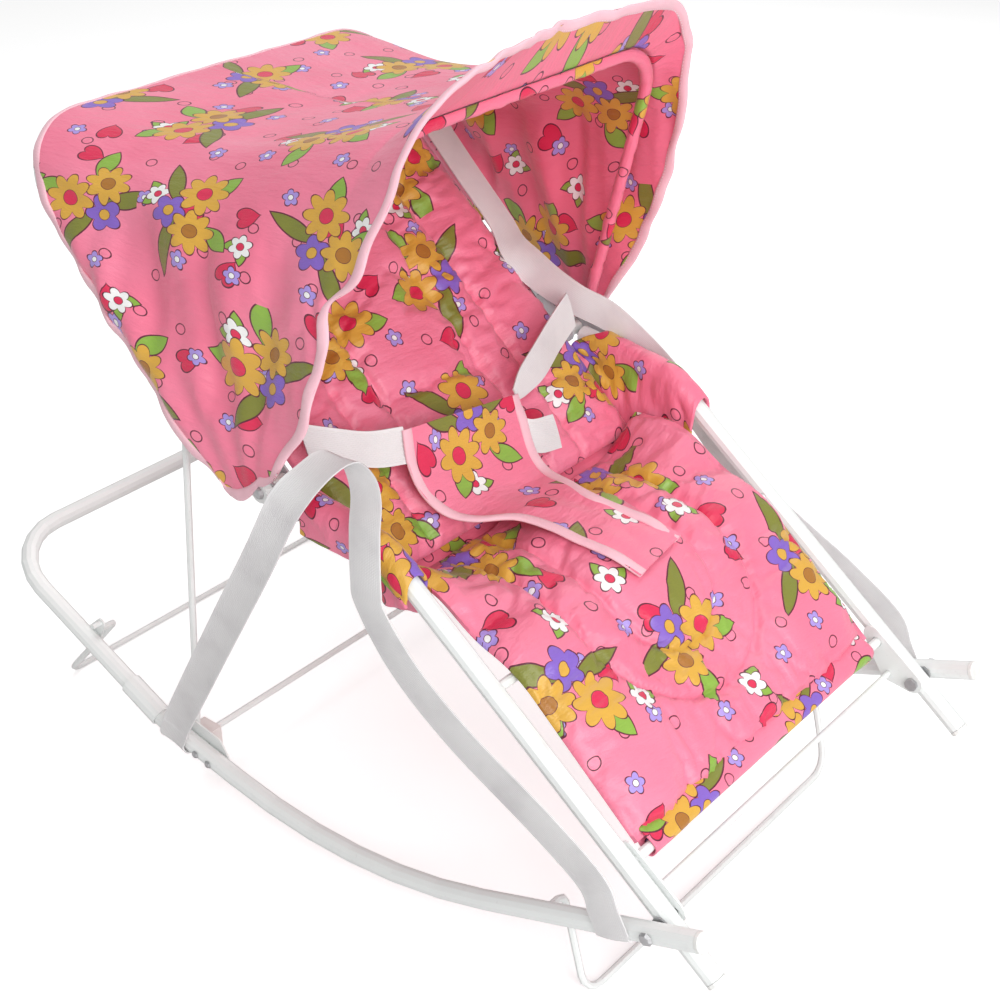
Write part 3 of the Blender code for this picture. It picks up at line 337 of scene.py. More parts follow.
def flower(picture, x, y, spot, radius, petals, colour, heart):
    """A flower with round petals and a heart, outlined."""
    x, y = x - spot[0], y - spot[1]
    reach = (x * x + y * y).root()
    angle = x.make("ShaderNodeMath", {0: y, 1: x}, operation="ARCTAN2")
    edge = abs((angle * (petals / 2)).cos()) * (0.38 * radius) + 0.62 * radius
    picture = outlined(picture, reach / edge, LINE / radius, colour)
    return outlined(picture, reach / (0.30 * radius), 1.6 * LINE / radius, heart)


def leaf(picture, x, y, spot, angle, length, width, colour):
    """A pointed leaf that starts at a spot."""
    c, s = cos(angle), sin(angle)
    x, y = x - spot[0], y - spot[1]
    along = (x * c + y * s) / (length / 2) - 1.0
    aside = abs(y * c - x * s) / (width / 2)
    return outlined(picture, aside + along * along, 2.4 * LINE / width, colour)


def heart_shape(picture, x, y, radius, colour):
    """A small heart."""
    lift = abs(x).root() * (0.75 * radius ** 0.5)
    high = y - lift
    return outlined(picture, (x * x + high * high).root() / radius, LINE / radius, colour)


def ring(picture, x, y, radius, line):
    """A thin ring."""
    return paint(picture, MAROON, abs((x * x + y * y).root() - radius) < line)


# Each layer of the print: the size, seed and wander of its cells, and what is drawn in each cell.
LAYERS = (
    (0.050, 3.3, 0.55, [(ring, 0.0046, 0.0005)]),
    (0.083, 7.1, 0.60, [(heart_shape, 0.0095, CRIMSON)]),
    (0.068, 5.7, 0.60, [(flower, (0, 0), 0.0075, 5, LILAC, WHITE)]),
    (0.112, 1.9, 0.50, [
        (leaf, (0.000, -0.004), 2.2, 0.020, 0.009, LEAF),
        (leaf, (0.000, -0.004), 0.9, 0.020, 0.009, LEAF),
        (flower, (0, 0), 0.0110, 6, WHITE, CRIMSON)]),
    (0.128, 0.0, 0.30, [
        (leaf, (0.006, -0.014), -0.35, 0.052, 0.014, OLIVE),
        (leaf, (-0.006, -0.014), 3.5, 0.050, 0.014, OLIVE),
        (leaf, (0.014, 0.014), 0.75, 0.033, 0.016, LEAF),
        (leaf, (-0.016, 0.012), 2.3, 0.033, 0.016, LEAF),
        (flower, (0.001, -0.021), 0.0165, 5, VIOLET, GOLD),
        (flower, (0.020, 0.001), 0.0205, 8, GOLD, GOLD_DEEP),
        (flower, (-0.019, 0.007), 0.0225, 8, GOLD, CRIMSON)]))


def printed(name, ground, ground_light, seed):
    """The printed cloth. The print lies on the piece's own map, in metres."""
    made, shader, start = material(
        name, Sheen_Weight=0.15, Sheen_Roughness=0.4, Specular_IOR_Level=0.6)
    place = start.make("ShaderNodeUVMap", uv_map="cut")
    u, v = place.split()[:2]
    cloudy = grain(start, 7, detail=3, source="cut")
    picture = paint(ground, ground_light, cloudy.soft_step(0.3, 0.75))
    for size, offset, wander, drawings in LAYERS:
        x, y = scatter(u, v, size, seed + offset, wander)
        for draw, *how in drawings:
            picture = draw(picture, x, y, *how)
    creases = grain(start, 15, detail=5, stretch=(1, 2.6, 1), source="cut", roughness=0.62)
    threads = grain(start, 1500, detail=0, source="cut")
    finish(shader, picture, cloudy * 0.14 + creases * 0.12 + 0.27,
           raised(creases * 0.96 + threads * 0.04, 0.0080, 0.55))
    return made


PRINT = printed("printed_cloth", PINK, PINK_LIGHT, 0.0)
PRINT_INSIDE = printed("printed_cloth_inside", PINK_INSIDE, PINK, 11.0)

# Quilted panels: the seat and the back are two layers of the cloth with wadding between, sewn
# through along two rounded channels. They hang between the rods and tubes.


def clamped(value):
    return min(1, max(0, value))


def smooth(value):
    """Smooth step from 0 to 1."""
    value = clamped(value)
    return value * value * (3 - 2 * value)


def ripple(x, y, z):
    """Smooth noise between about -1 and 1."""
    return noise.noise(Vector((x, y, z)))


def at_y(point, y):
    return Vector((point.x, y, point.z))


def back_at(angle):
    """Unit vector that points backwards and rises by the angle."""
    return Vector((-cos(angle), 0, sin(angle)))


def up_from(angle):
    """Unit vector square to back_at, on its upper side."""
    return Vector((sin(angle), 0, cos(angle)))


def filleted(corners, radii, step=0.004):
    """A line through the corners, the inner ones rounded by an arc of their radius."""
    line = [corners[0]]
    for before, corner, after, radius in zip(corners, corners[1:], corners[2:], radii):
        away, towards = (before - corner).normalized(), (after - corner).normalized()
        half = away.angle(towards) / 2
        bisector = (away + towards).normalized()
        centre = corner + bisector * (radius / sin(half))
        first = corner + away * (radius / tan(half)) - centre
        turn = pi - 2 * half
        axis = away.cross(towards).normalized()
        count = max(2, ceil(turn * radius / step))
        line += [centre + Matrix.Rotation(-turn * i / count, 3, axis) @ first
                 for i in range(count + 1)]
    return line + [corners[-1]]


def length_of(line):
    return sum((b - a).length for a, b in zip(line, line[1:]))


def place_along(line, distance):
    """Point and forward direction at a distance along a line of points."""
    for one, other in zip(line, line[1:]):
        step = (other - one).length
        if distance <= step or other is line[-1]:
            return one + (other - one) * distance / step, (other - one).normalized()
        distance -= step


def laid(columns, rows, place, cut):
    """A sheet: place(a, b) puts each grid point in the frame, cut(a, b, point) on flat cloth."""
    sheet = bmesh.new()
    bmesh.ops.create_grid(sheet, x_segments=columns, y_segments=rows, size=0.5)
    bmesh.ops.translate(sheet, verts=sheet.verts, vec=(0.5, 0.5, 0))
    layer = sheet.loops.layers.uv.new("cut")
    flat = {}
    for vert in sheet.verts:
        a, b = vert.co.x, vert.co.y
        vert.co = place(a, b)
        flat[vert] = cut(a, b, vert.co)
    for face in sheet.faces:
        for loop in face.loops:
            loop[layer].uv = flat[loop.vert]
    return sheet


def piece(name, shape, looks, body, replaces=(), angle=50):
    """A finished object: its mesh, its materials, what it rides on and what it stands for."""
    mesh = bpy.data.meshes.new(name)
    shape.to_mesh(mesh)
    shape.free()
    mesh.shade_smooth()
    mesh.set_sharp_from_angle(angle=radians(angle))
    thing = bpy.data.objects.new(name, mesh)
    for look in looks:
        mesh.materials.append(look)
    scene.collection.objects.link(thing)
    if body:
        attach(thing, body)
    if replaces:
        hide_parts(*replaces)
    return thing


SEAT_Y = 0.1815
TUBE_D = 0.016
TUBE_BEND_R = 0.06
PIVOT = Vector((0.3455, 0, 0.132))
SEAT_SLOPE = radians(37.02)
SEAT = back_at(SEAT_SLOPE)
SEAT_UP = up_from(SEAT_SLOPE)
BEND = PIVOT + 0.3256 * SEAT
HINGE = BEND + 0.112 * back_at(radians(7.7))
BACK_SLOPE = radians(41.85)
BACK = back_at(BACK_SLOPE)
BACK_UP = up_from(BACK_SLOPE)
BACK_LENGTH = 0.3282
BACK_TOP = HINGE + BACK_LENGTH * BACK
PAD_HALF = 0.162
PAD_EDGE_T = 0.004
PAD_CROWN = 0.0062
PAD_BEND_R = 0.0492
PAD_RISE = 0.034
PAD_STEP = 0.0032
PAD_SWELL = 0.006
SWELL_FRAMES = 20
SWELL_RULES = {
    "quality": 4, "mass": 0.12, "tension_stiffness": 12, "compression_stiffness": 12,
    "shear_stiffness": 4, "bending_stiffness": 0.05, "vertex_group_mass": "sewn",
    "shrink_min": -0.06, "use_pressure": True, "uniform_pressure_force": 5.0}
CHANNELS = (0.055, 0.095)
CHANNEL_W = 0.0042


def over_seat(s, n):
    """A point of the seat's side plane, from the front pivot."""
    return PIVOT + s * SEAT + n * SEAT_UP


def on_back(along, up):
    """A point of the backrest's side plane, from the hinge."""
    return HINGE + along * BACK + up * BACK_UP


seat_line = filleted(
    [over_seat(0.0528, -0.003), over_seat(0.206, 0.0085), over_seat(0.262, -0.022),
     over_seat(0.306, -0.066)], [0.10, 0.06])
SEAT_PAD_LENGTH = length_of(seat_line)
SEAT_CENTRE_AT = 0.140
BACK_PAD_LOW = -0.106
BACK_PAD_LENGTH = BACK_LENGTH - 0.0101 - BACK_PAD_LOW
BACK_CENTRE_AT = BACK_PAD_LENGTH - 0.13


def seat_point(along, across, height):
    """A point of the seat panel, whose sides rise behind the crest towards the bucket sides."""
    point, ahead = place_along(seat_line, along)
    up = Vector((-ahead.z, 0, ahead.x)) if ahead.x > 0 else Vector((ahead.z, 0, -ahead.x))
    rise = PAD_RISE * smooth((abs(across) - 0.105) / 0.077) * smooth((along - 0.17) / 0.08)
    return point + height * up + Vector((0, across, rise))


def back_point(along, across, height):
    """A point of the back panel, which narrows inside the bends of the backrest tube."""
    spot = BACK_PAD_LOW + along
    past = max(0, spot - (BACK_LENGTH - TUBE_BEND_R))
    reach = SEAT_Y - TUBE_BEND_R + max(0, PAD_BEND_R ** 2 - past ** 2) ** 0.5
    return at_y(on_back(spot, 0.001 + height), across * min(1, reach / PAD_HALF))


def channel_distance(along, across, centre, open_end):
    """How far a point lies from the middle line that the channels go round."""
    return hypot(max((centre - along) * open_end, 0), across)


def quilt(name, point, length, centre, open_end, body, replaces, pucker):
    """A quilted panel: a crowned top with sewn channels, and a flat underside."""
    columns, rows = round(2 * PAD_HALF / PAD_STEP), round(length / PAD_STEP)

    def height(along, across):
        out = channel_distance(along, across, centre, open_end)
        dips = [exp(-abs((out - spot) / CHANNEL_W) ** 1.4) for spot in CHANNELS]
        edge = smooth((PAD_HALF - abs(across)) / 0.014) * smooth(min(along, length - along) / 0.010)
        near = sum(exp(-((out - spot) / 0.016) ** 2) for spot in CHANNELS)
        folds = 0.0011 * ripple(along * 95 + pucker, across * 95, out * 18)
        slack = 0.0016 * ripple(along * 16, across * 16, pucker)
        crown = PAD_CROWN * (1 - min(1, sum(dips)))
        return PAD_EDGE_T + edge * (crown + folds * min(1, near + 0.2) + slack)

    def top(a, b):
        along, across = b * length, (2 * a - 1) * PAD_HALF
        return point(along, across, height(along, across))

    def under(a, b):
        return point(b * length, (2 * a - 1) * PAD_HALF, 0)

    def cut(a, b, place):
        return ((2 * a - 1) * PAD_HALF, b * length + pucker)

    upper = laid(columns, rows, top, cut)
    lower = laid(columns, rows, under, cut)
    bmesh.ops.reverse_faces(lower, faces=lower.faces)
    mesh = bpy.data.meshes.new(name + "_under")
    lower.to_mesh(mesh)
    lower.free()
    first_under = len(upper.verts)
    upper.from_mesh(mesh)
    bpy.data.meshes.remove(mesh)
    rim = [edge for edge in upper.edges if edge.is_boundary]
    bmesh.ops.bridge_loops(upper, edges=rim)
    bmesh.ops.recalc_face_normals(upper, faces=upper.faces)
    thing = piece(name, upper, [PRINT], body, replaces, angle=80)
    seams = []
    for i in range(first_under):
        row, column = divmod(i, columns + 1)
        along, across = row / rows * length, (2 * column / columns - 1) * PAD_HALF
        out = channel_distance(along, across, centre, open_end)
        sewn = any(abs(out - spot) < 0.6 * PAD_STEP for spot in CHANNELS)
        if sewn or column in (0, columns) or row in (0, rows):
            seams.append(i)
    puff(thing, seams + list(range(first_under, len(thing.data.vertices))))


def puff(thing, sewn):
    """Swells a pad with Cloth: the sewn points stay, the others bulge and pucker a little."""
    seams = thing.vertex_groups.new(name="sewn")
    seams.add(sewn, 1.0, "REPLACE")
    cloth = thing.modifiers.new("cloth", "CLOTH")
    for key, value in SWELL_RULES.items():
        setattr(cloth.settings, key, value)
    cloth.settings.effector_weights.gravity = 0
    cloth.collision_settings.use_collision = False
    for step in range(SWELL_FRAMES):
        scene.frame_set(step + 1)
    swollen = thing.evaluated_get(bpy.context.evaluated_depsgraph_get())
    moved = [vert.co.copy() for vert in swollen.data.vertices]
    thing.modifiers.remove(cloth)
    scene.frame_set(1)
    for vert, after in zip(thing.data.vertices, moved):
        shift = after - vert.co
        if shift.length > PAD_SWELL:
            shift *= PAD_SWELL / shift.length
        vert.co += shift


quilt("seat_panel", seat_point, SEAT_PAD_LENGTH, SEAT_CENTRE_AT, 1,
      "seat_frame", ["seat_pad"], 0.35)
quilt("back_panel", back_point, BACK_PAD_LENGTH, BACK_CENTRE_AT, -1,
      "backrest", ["back_pad"], 0.90)

# Bight strip: the single layer of cloth that joins the two quilted panels behind the sitter's hips.
# It is slack, and sags a little between the panels.
BIGHT_T = 0.0012
BIGHT_HALF = 0.150
BIGHT_SAG = 0.010
BIGHT_LAP = 0.022
bight_front = seat_point(SEAT_PAD_LENGTH - BIGHT_LAP, 0, -BIGHT_T)
bight_back = on_back(BACK_PAD_LOW + BIGHT_LAP, -BIGHT_T / 2)


def thicken(thing, thickness, inside=False, levels=0):
    """Gives a sheet its thickness, a second finish inside if asked, and a subdivision."""
    wall = thing.modifiers.new("thickness", "SOLIDIFY")
    wall.thickness = thickness
    wall.offset = 0
    if inside:
        wall.material_offset = 1
        wall.material_offset_rim = 0
    if levels:
        fine = thing.modifiers.new("fine", "SUBSURF")
        fine.levels = levels
        fine.render_levels = levels


def bight_place(a, b):
    across = (2 * a - 1) * BIGHT_HALF
    line = bight_front.lerp(bight_back, b)
    return line + Vector((0, across, -BIGHT_SAG * sin(pi * b)))


bight_shape = laid(40, 10, bight_place, lambda a, b, p: (a * 2 * BIGHT_HALF, 0.62 + b * 0.06))
bight = piece("bight_strip", bight_shape, [PRINT_INSIDE], None)
thicken(bight, BIGHT_T)
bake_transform(bight)
(bight_back - bight_front).length + 0.006

# Bucket sides: padded cloth that goes over each armrest tube and hangs down inside to the seat's
# edge. The outer lip is short and wavy, as a hand-sewn sleeve is.
SIDE_T = 0.003
SIDE_WRAP_R = TUBE_D / 2 + SIDE_T / 2 + 0.0011
armrest_line = filleted([HINGE, BEND, PIVOT], [0.05])
SIDE_FROM = 0.036
SIDE_TO = 0.150
WALL_FROM = 0.014
LIP_SHARE = 0.25
WRAP_SHARE = 0.35
WALL_SHARE = 0.4
FLOOR_X, FLOOR_Z, FLOOR_RISE = 0.0625, 0.262, 0.216


def side_floor(x):
    """Height of the side's lower edge, which follows the back panel and the seat panel."""
    return max(HINGE.z - (x - HINGE.x) * tan(BACK_SLOPE), FLOOR_Z + (x - FLOOR_X) * FLOOR_RISE)


def side_place(side):
    """The placing function of one bucket side: b goes up the lip, over the tube and down inside."""
    def place(a, b):
        begin = SIDE_FROM + (WALL_FROM - SIDE_FROM) * smooth((b - 0.40) / 0.25)
        centre, ahead = place_along(armrest_line, begin + (SIDE_TO - begin) * a)
        slack = 0.0012 * ripple(centre.x * 90, b * 7, side * 3.1)
        radius = SIDE_WRAP_R + 0.0008 + slack
        if b < LIP_SHARE:
            lip = (0.020 - 0.012 * smooth(a)) * (1 - b / LIP_SHARE)
            y, z = radius, -lip
        elif b < LIP_SHARE + WRAP_SHARE:
            turn = pi * (b - LIP_SHARE) / WRAP_SHARE
            y, z = radius * cos(turn), radius / ahead.x * sin(turn)
        else:
            share = (b - LIP_SHARE - WRAP_SHARE) / WALL_SHARE
            drop = centre.z - side_floor(centre.x)
            hinge_room = 0.007 * (1 - smooth((centre.x - HINGE.x - 0.012) / 0.030))
            crumple = 0.004 * share * ripple(centre.x * 60, share * 1.5, side * 5.0)
            lean = max(hinge_room * smooth(share * 4), 0.007 * share ** 2)
            y = -radius - lean - 2 * slack - abs(crumple)
            z = -drop * share
        return Vector((centre.x, side * (SEAT_Y + y), centre.z + z))
    return place


for hand, side in (("right", -1), ("left", 1)):
    shape = laid(44, 44, side_place(side),
                 lambda a, b, p: (side * (0.3 + 0.12 * b) + 0.02, p.x * 1.1 + 0.45))
    if side < 0:
        bmesh.ops.reverse_faces(shape, faces=shape.faces)
    cover = piece("bucket_side_" + hand, shape, [PRINT], "seat_frame", ["seat_side_" + hand])
    thicken(cover, SIDE_T, levels=1)

# Hem casing: the seat panel's front edge, folded round the hem rod and sewn.
# Its ends stand a little open and wavy at the rod.
HEM = PIVOT + 0.0446 * SEAT - 0.001 * SEAT_UP
HEM_HALF = 0.155
hem_profile = filleted(
    [HEM + along * SEAT + up * SEAT_UP for along, up in (
        (0.0150, 0.0030), (0.0050, 0.0052), (-0.0060, 0.0060), (-0.0062, -0.0062),
        (0.0050, -0.0056), (0.0135, -0.0034))], [0.010, 0.0052, 0.0052, 0.010], step=0.001)
HEM_RUN = length_of(hem_profile)


def hem_place(a, b):
    across = (2 * a - 1) * HEM_HALF
    point = place_along(hem_profile, HEM_RUN * b)[0]
    end = smooth((abs(across) - 0.11) / 0.045)
    wave = 0.0012 * sin(pi * b) * ripple(across * 45, 2.0, b * 2)
    open_end = 0.0040 * end * smooth((b - 0.35) / 0.3) * (1 + ripple(across * 30, 7.0, 0))
    return at_y(point + wave * SEAT_UP - open_end * (SEAT_UP + 0.5 * SEAT), across)


hem_shape = laid(110, 36, hem_place, lambda a, b, p: (a * 2 * HEM_HALF, 0.30 + b * HEM_RUN))
hem = piece("hem_fold", hem_shape, [PRINT], "seat_frame", ["hem_casing"])
thicken(hem, 0.0011)

# Backrest pocket: a sleeve of the cloth over the top of the backrest tube, open at its two lower
# ends. It is a little looser than the tube and wrinkles along it.
POCKET_R = TUBE_D / 2 + 0.0013
POCKET_FROM = 0.128


def rolled(shape, capped=False):
    """Joins a sheet's meeting edges into a tube, with its ends closed if asked."""
    bmesh.ops.remove_doubles(shape, verts=shape.verts, dist=0.00001)
    if capped:
        ends = [edge for edge in shape.edges if edge.is_boundary]
        bmesh.ops.holes_fill(shape, edges=ends, sides=0)
    bmesh.ops.recalc_face_normals(shape, faces=shape.faces)
    return shape


def arch(foot, foot_y, top, top_y, radius):
    """A line up the right side, across the top and down the left, rounded at both corners."""
    corners = [at_y(foot, -foot_y), at_y(top, -top_y), at_y(top, top_y), at_y(foot, foot_y)]
    return filleted(corners, [radius, radius])


pocket_line = arch(HINGE + POCKET_FROM * BACK, SEAT_Y, BACK_TOP, SEAT_Y, TUBE_BEND_R)
POCKET_LENGTH = length_of(pocket_line)


def pocket_place(a, b):
    centre, ahead = place_along(pocket_line, POCKET_LENGTH * a)
    aside = ahead.cross(BACK_UP).normalized()
    angle = 2 * pi * b
    crease = 0.0010 * ripple(a * 46, cos(angle) * 1.2, sin(angle) * 1.2)
    radius = POCKET_R + 0.0006 + crease
    return centre + radius * (cos(angle) * aside + sin(angle) * BACK_UP)


pocket_shape = rolled(laid(
    150, 18, pocket_place, lambda a, b, p: (a * POCKET_LENGTH, 1.3 + b * 0.06)))
pocket = piece("tube_pocket", pocket_shape, [PRINT], "backrest", ["backrest_pocket"])
thicken(pocket, 0.0010)

# Hood: one sheet of the cloth over the backrest's top and the front bow, with a visor that stands
# forward of the bow. The side panels gather towards the hinge, and the edges are bound.
BOW_Y = 0.1959
BOW_R = 0.0035
BOW_BEND_R = 0.06
BOW_TOP_Y = 0.16
HOOD_GAP = 0.001
CLOTH_HALF = 0.0006
HOOD_SIDE_Y = BOW_Y + BOW_R + HOOD_GAP + CLOTH_HALF
HOOD_SLOPE = radians(108.65)
HOOD = back_at(HOOD_SLOPE)
HOOD_FORE = up_from(HOOD_SLOPE)
HOOD_TOP = HINGE + 0.292 * HOOD
HOOD_COVER = 0.0051
COVER_TOP_Y = BOW_TOP_Y + HOOD_COVER
COVER_BEND_R = 0.046
CANOPY_FOOT = 0.018
BACK_COVER = 0.0114
SKIRT = Vector((-0.066, 0, 0.3275))
ARC_FROM = 0.55
TOP_FROM = 0.72


class Hoop:
    """One line across the hood: up the left side, over the top and down the right."""

    def __init__(self, foot, corner, corner_y, radius, bulge=Vector()):
        self.start = at_y(foot, HOOD_SIDE_Y)
        self.corner = at_y(corner, corner_y)
        self.up = (self.corner - self.start).normalized()
        self.radius = radius
        self.rise = self.corner - radius * self.up
        self.bulge = bulge
        self.half_top = corner_y - radius

    def at(self, share):
        """The point at a share of the way from one foot to the other."""
        mirrored = share > 0.5
        share = 2 * min(share, 1 - share)
        if share < ARC_FROM:
            part = share / ARC_FROM
            point = self.start.lerp(self.rise, part) + sin(pi * part) * self.bulge
        elif share < TOP_FROM:
            turn = pi / 2 * (share - ARC_FROM) / (TOP_FROM - ARC_FROM)
            inward = Vector((0, -1, 0))
            point = self.rise + self.radius * (sin(turn) * self.up + (1 - cos(turn)) * inward)
        else:
            top = at_y(self.corner, self.half_top)
            point = top.lerp(at_y(self.corner, 0), (share - TOP_FROM) / (1 - TOP_FROM))
        return at_y(point, -point.y) if mirrored else point


TOP_AT = 0.06
WRAP_AT = 0.788
BOW_AT = 0.80
FOLD_DEPTH = 0.0062
FOLDS = 3.2
HOOD_SAG = 0.022
VISOR_CROWN = 0.019
VISOR_REACH = 0.028
# Waves of the visor's near edge: the height of each, how far it spreads and how far it stands out.
NEAR_WAVES = ((0.590, 0.030, 0.010), (0.545, 0.016, 0.007), (0.507, 0.018, -0.012),
              (0.418, 0.022, 0.007))

rear_hoop = Hoop(SKIRT, BACK_TOP + BACK_COVER * BACK, HOOD_SIDE_Y, TUBE_BEND_R)
top_hoop = Hoop(SKIRT + 0.008 * BACK_UP, BACK_TOP + BACK_COVER * up_from(radians(-9)),
                HOOD_SIDE_Y, TUBE_BEND_R)
wrap_hoop = Hoop(HINGE + CANOPY_FOOT * HOOD - 0.003 * HOOD_FORE,
                 HOOD_TOP + HOOD_COVER * up_from(radians(-22)), COVER_TOP_Y, COVER_BEND_R)
bow_hoop = Hoop(HINGE + CANOPY_FOOT * HOOD, HOOD_TOP + HOOD_COVER * HOOD, COVER_TOP_Y, COVER_BEND_R)
edge_hoop = Hoop(HINGE + 0.022 * HOOD + 0.012 * HOOD_FORE,
                 HOOD_TOP + 0.042 * HOOD + 0.023 * HOOD_FORE, COVER_TOP_Y, COVER_BEND_R,
                 0.015 * HOOD_FORE)
HOOPS = ((0, rear_hoop), (TOP_AT, top_hoop), (WRAP_AT, wrap_hoop), (BOW_AT, bow_hoop),
         (1, edge_hoop))


def between_hoops(a, b):
    """The hood's plain surface, before its folds."""
    for (low, one), (high, other) in zip(HOOPS, HOOPS[1:]):
        if b < high or other is edge_hoop:
            return one.at(a).lerp(other.at(a), (b - low) / (high - low))


def hood_place(a, b):
    """The hood's surface: a goes over it from foot to foot, b from the rear to the visor's edge."""
    point = between_hoops(a, b)
    foot = 2 * min(a, 1 - a)
    hand = 1 if point.y > 0 else -1
    span = clamped((b - TOP_AT) / (WRAP_AT - TOP_AT))
    visor = max(0, (b - BOW_AT) / (1 - BOW_AT))
    on_side = sin(pi * min(1, foot / 0.66))
    on_top = smooth((foot - 0.60) / 0.2)
    high = smooth((foot - 0.42) / 0.25)

    # Sides: upright folds, small gathers low down, and folds that fan out from the rear corner.
    folds = FOLD_DEPTH * (1 - cos(2 * pi * (FOLDS * span + 0.35 * sin(9 * a)))) / 2
    wander = 0.0055 * ripple(point.x * 15, point.z * 15, hand * 4.0)
    gather = 0.0030 * ripple(point.x * 70, point.z * 9, hand * 2.0) * (1 - high)
    away_x, away_z = point.x - BACK_TOP.x, BACK_TOP.z - point.z
    fan = atan2(away_z, away_x + 0.02) + 0.25 * ripple(point.x * 8, point.z * 8, hand * 9.0)
    radiating = 0.0050 * sin(13 * fan) * smooth(hypot(away_x, away_z) / 0.10) * (1 - visor)
    point.y += hand * on_side * (folds + abs(wander) + gather + 0.004 + radiating)

    # Top: a sag between the tube and the bow, and creases.
    sag = HOOD_SAG * max(0, sin(pi * span)) ** 1.2
    creases = 0.0042 * ripple(point.x * 13, point.y * 17, 7.7)
    crossing = 0.0016 * ripple(point.x * 46, point.y * 24, 2.2)
    point.z += on_top * sin(pi * min(1, span + 0.02)) * (creases + crossing) - sag * high
    point.y -= hand * 0.4 * sag * high * (1 - on_top)

    # Lower edges: drawn up at the rear, hanging further on.
    low = smooth(1 - foot / 0.10)
    point.z += low * (0.012 * smooth(1 - b / 0.15) - 0.015 * sin(pi * b))

    # Visor: waves on the near side, a crown in the middle and a fluttering edge.
    if hand < 0:
        for height, reach, depth in NEAR_WAVES:
            swell = depth * exp(-((point.z - height) / reach) ** 2)
            point += visor * (1 - on_top) * swell * HOOD_FORE
    near = smooth((0.02 - point.y) / 0.17)
    crown = VISOR_CROWN * max(0, 1 - (point.y / 0.21) ** 2)
    point.x += visor * high * (VISOR_REACH * near - 0.004)
    point.z += visor * high * (crown + 0.009 * near)
    flutter = 0.0045 * ripple(a * 9, 3.0, 1.0) + 0.0020 * ripple(a * 34, 6.0, 1.0)
    outward = Vector((0, 0.6 * hand * (1 - on_top), 0.4 * on_top))
    return point + visor ** 2 * flutter * (HOOD_FORE + outward)


def hood_cut(a, b, point):
    """Unfolds the hood about its top edges, so that the print keeps its size on the sides."""
    top_z = 0.574 + 0.15 * (point.x + 0.279)
    hand = 1 if a < 0.5 else -1
    return (point.x + 2.0, hand * (abs(point.y) + max(0, top_z - point.z)) + 3.0)


hood_shape = laid(216, 104, hood_place, hood_cut)
hood = piece("hood_cloth", hood_shape, [PRINT, PRINT_INSIDE], None, ["hood_canopy"])
thicken(hood, 0.0011, inside=True)
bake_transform(hood)

# Bow casing: a strip of the cloth sewn inside the hood, in which the front bow lies.
# It puckers a little along the bow.
CASING_R = 0.0046
CASING_FOOT = 0.030
CASING_FOOT_Y = 0.1922
bow_line = arch(HINGE + CASING_FOOT * HOOD, CASING_FOOT_Y, HOOD_TOP, BOW_TOP_Y, BOW_BEND_R)
BOW_LENGTH = length_of(bow_line)


def casing_place(a, b):
    centre, ahead = place_along(bow_line, BOW_LENGTH * a)
    inward = ahead.cross(HOOD_FORE).normalized()
    if inward.dot(Vector((0, -centre.y, HINGE.z + 0.1 - centre.z))) < 0:
        inward = -inward
    angle = radians(325) * (b - 0.5)
    pucker = 0.0009 * ripple(a * 90, b * 2, 5.0)
    radius = CASING_R + max(0, abs(b - 0.5) - 0.42) * 0.020 + pucker
    return centre + radius * (cos(angle) * inward + sin(angle) * HOOD_FORE)


casing_shape = laid(220, 14, casing_place, lambda a, b, p: (a * BOW_LENGTH + 4, b * 0.03))
casing = piece("bow_casing", casing_shape, [PRINT_INSIDE], "hood")
thicken(casing, 0.0006)

# Binding: a pale pink bias tape, folded over the cloth's edge and sewn, which the stitching draws
# into small waves. It goes round the hood's whole edge and down both sides of the crotch panel.
TAPE_W = 0.0105
TAPE_T = 0.0012
TAPE_GAP = 0.0016
TAPE_OVER = 0.0012
TAPE_WAVE = 0.024
STITCH_AT = 0.0072
tape_cloth, tape_shader, start = material("bias_tape", Sheen_Weight=0.2)
run, span = start.make("ShaderNodeUVMap", uv_map="cut").split()[:2]
twill = ((run * 2600 + span * 1800).sin() + 1.0) * 0.5
thread = (abs(span - STITCH_AT) < 0.0004) * ((run * 2200).sin().soft_step(-0.2, 0.1))
tape_colour = grain(start, 40, detail=3, source="cut")
tape_pink = paint(rgba(0.80, 0.42, 0.50), rgba(0.88, 0.56, 0.62), tape_colour)
finish(tape_shader, paint(tape_pink, rgba(0.90, 0.75, 0.78), thread), tape_colour * 0.2 + 0.5,
       raised(twill * 0.5 + thread, 0.0003, 0.5))


def bound(name, edge, inward, outward, body, wave):
    """A tape folded over an edge line: inward points into the cloth, outward away from its face."""
    count = len(edge)
    run_length = length_of(edge)

    def place(a, b):
        spot = a * (count - 1)
        i = min(int(spot), count - 2)
        share = spot - i
        point = edge[i].lerp(edge[i + 1], share)
        into = inward[i].lerp(inward[i + 1], share).normalized()
        face = outward[i].lerp(outward[i + 1], share).normalized()
        swing = wave * ripple(a * run_length / TAPE_WAVE, wave * 900, 0)
        around = 2 * pi * b
        half = TAPE_W / 2 * cos(around)
        thick = (TAPE_T / 2 + TAPE_GAP) * sin(around)
        return point + into * (TAPE_W / 2 - TAPE_OVER - half + 0.7 * swing) + face * (thick + swing)

    shape = laid(count * 2, 14, place, lambda a, b, p: (a * run_length, b * 2 * TAPE_W))
    return piece(name, rolled(shape, capped=True), [tape_cloth], body, angle=80)


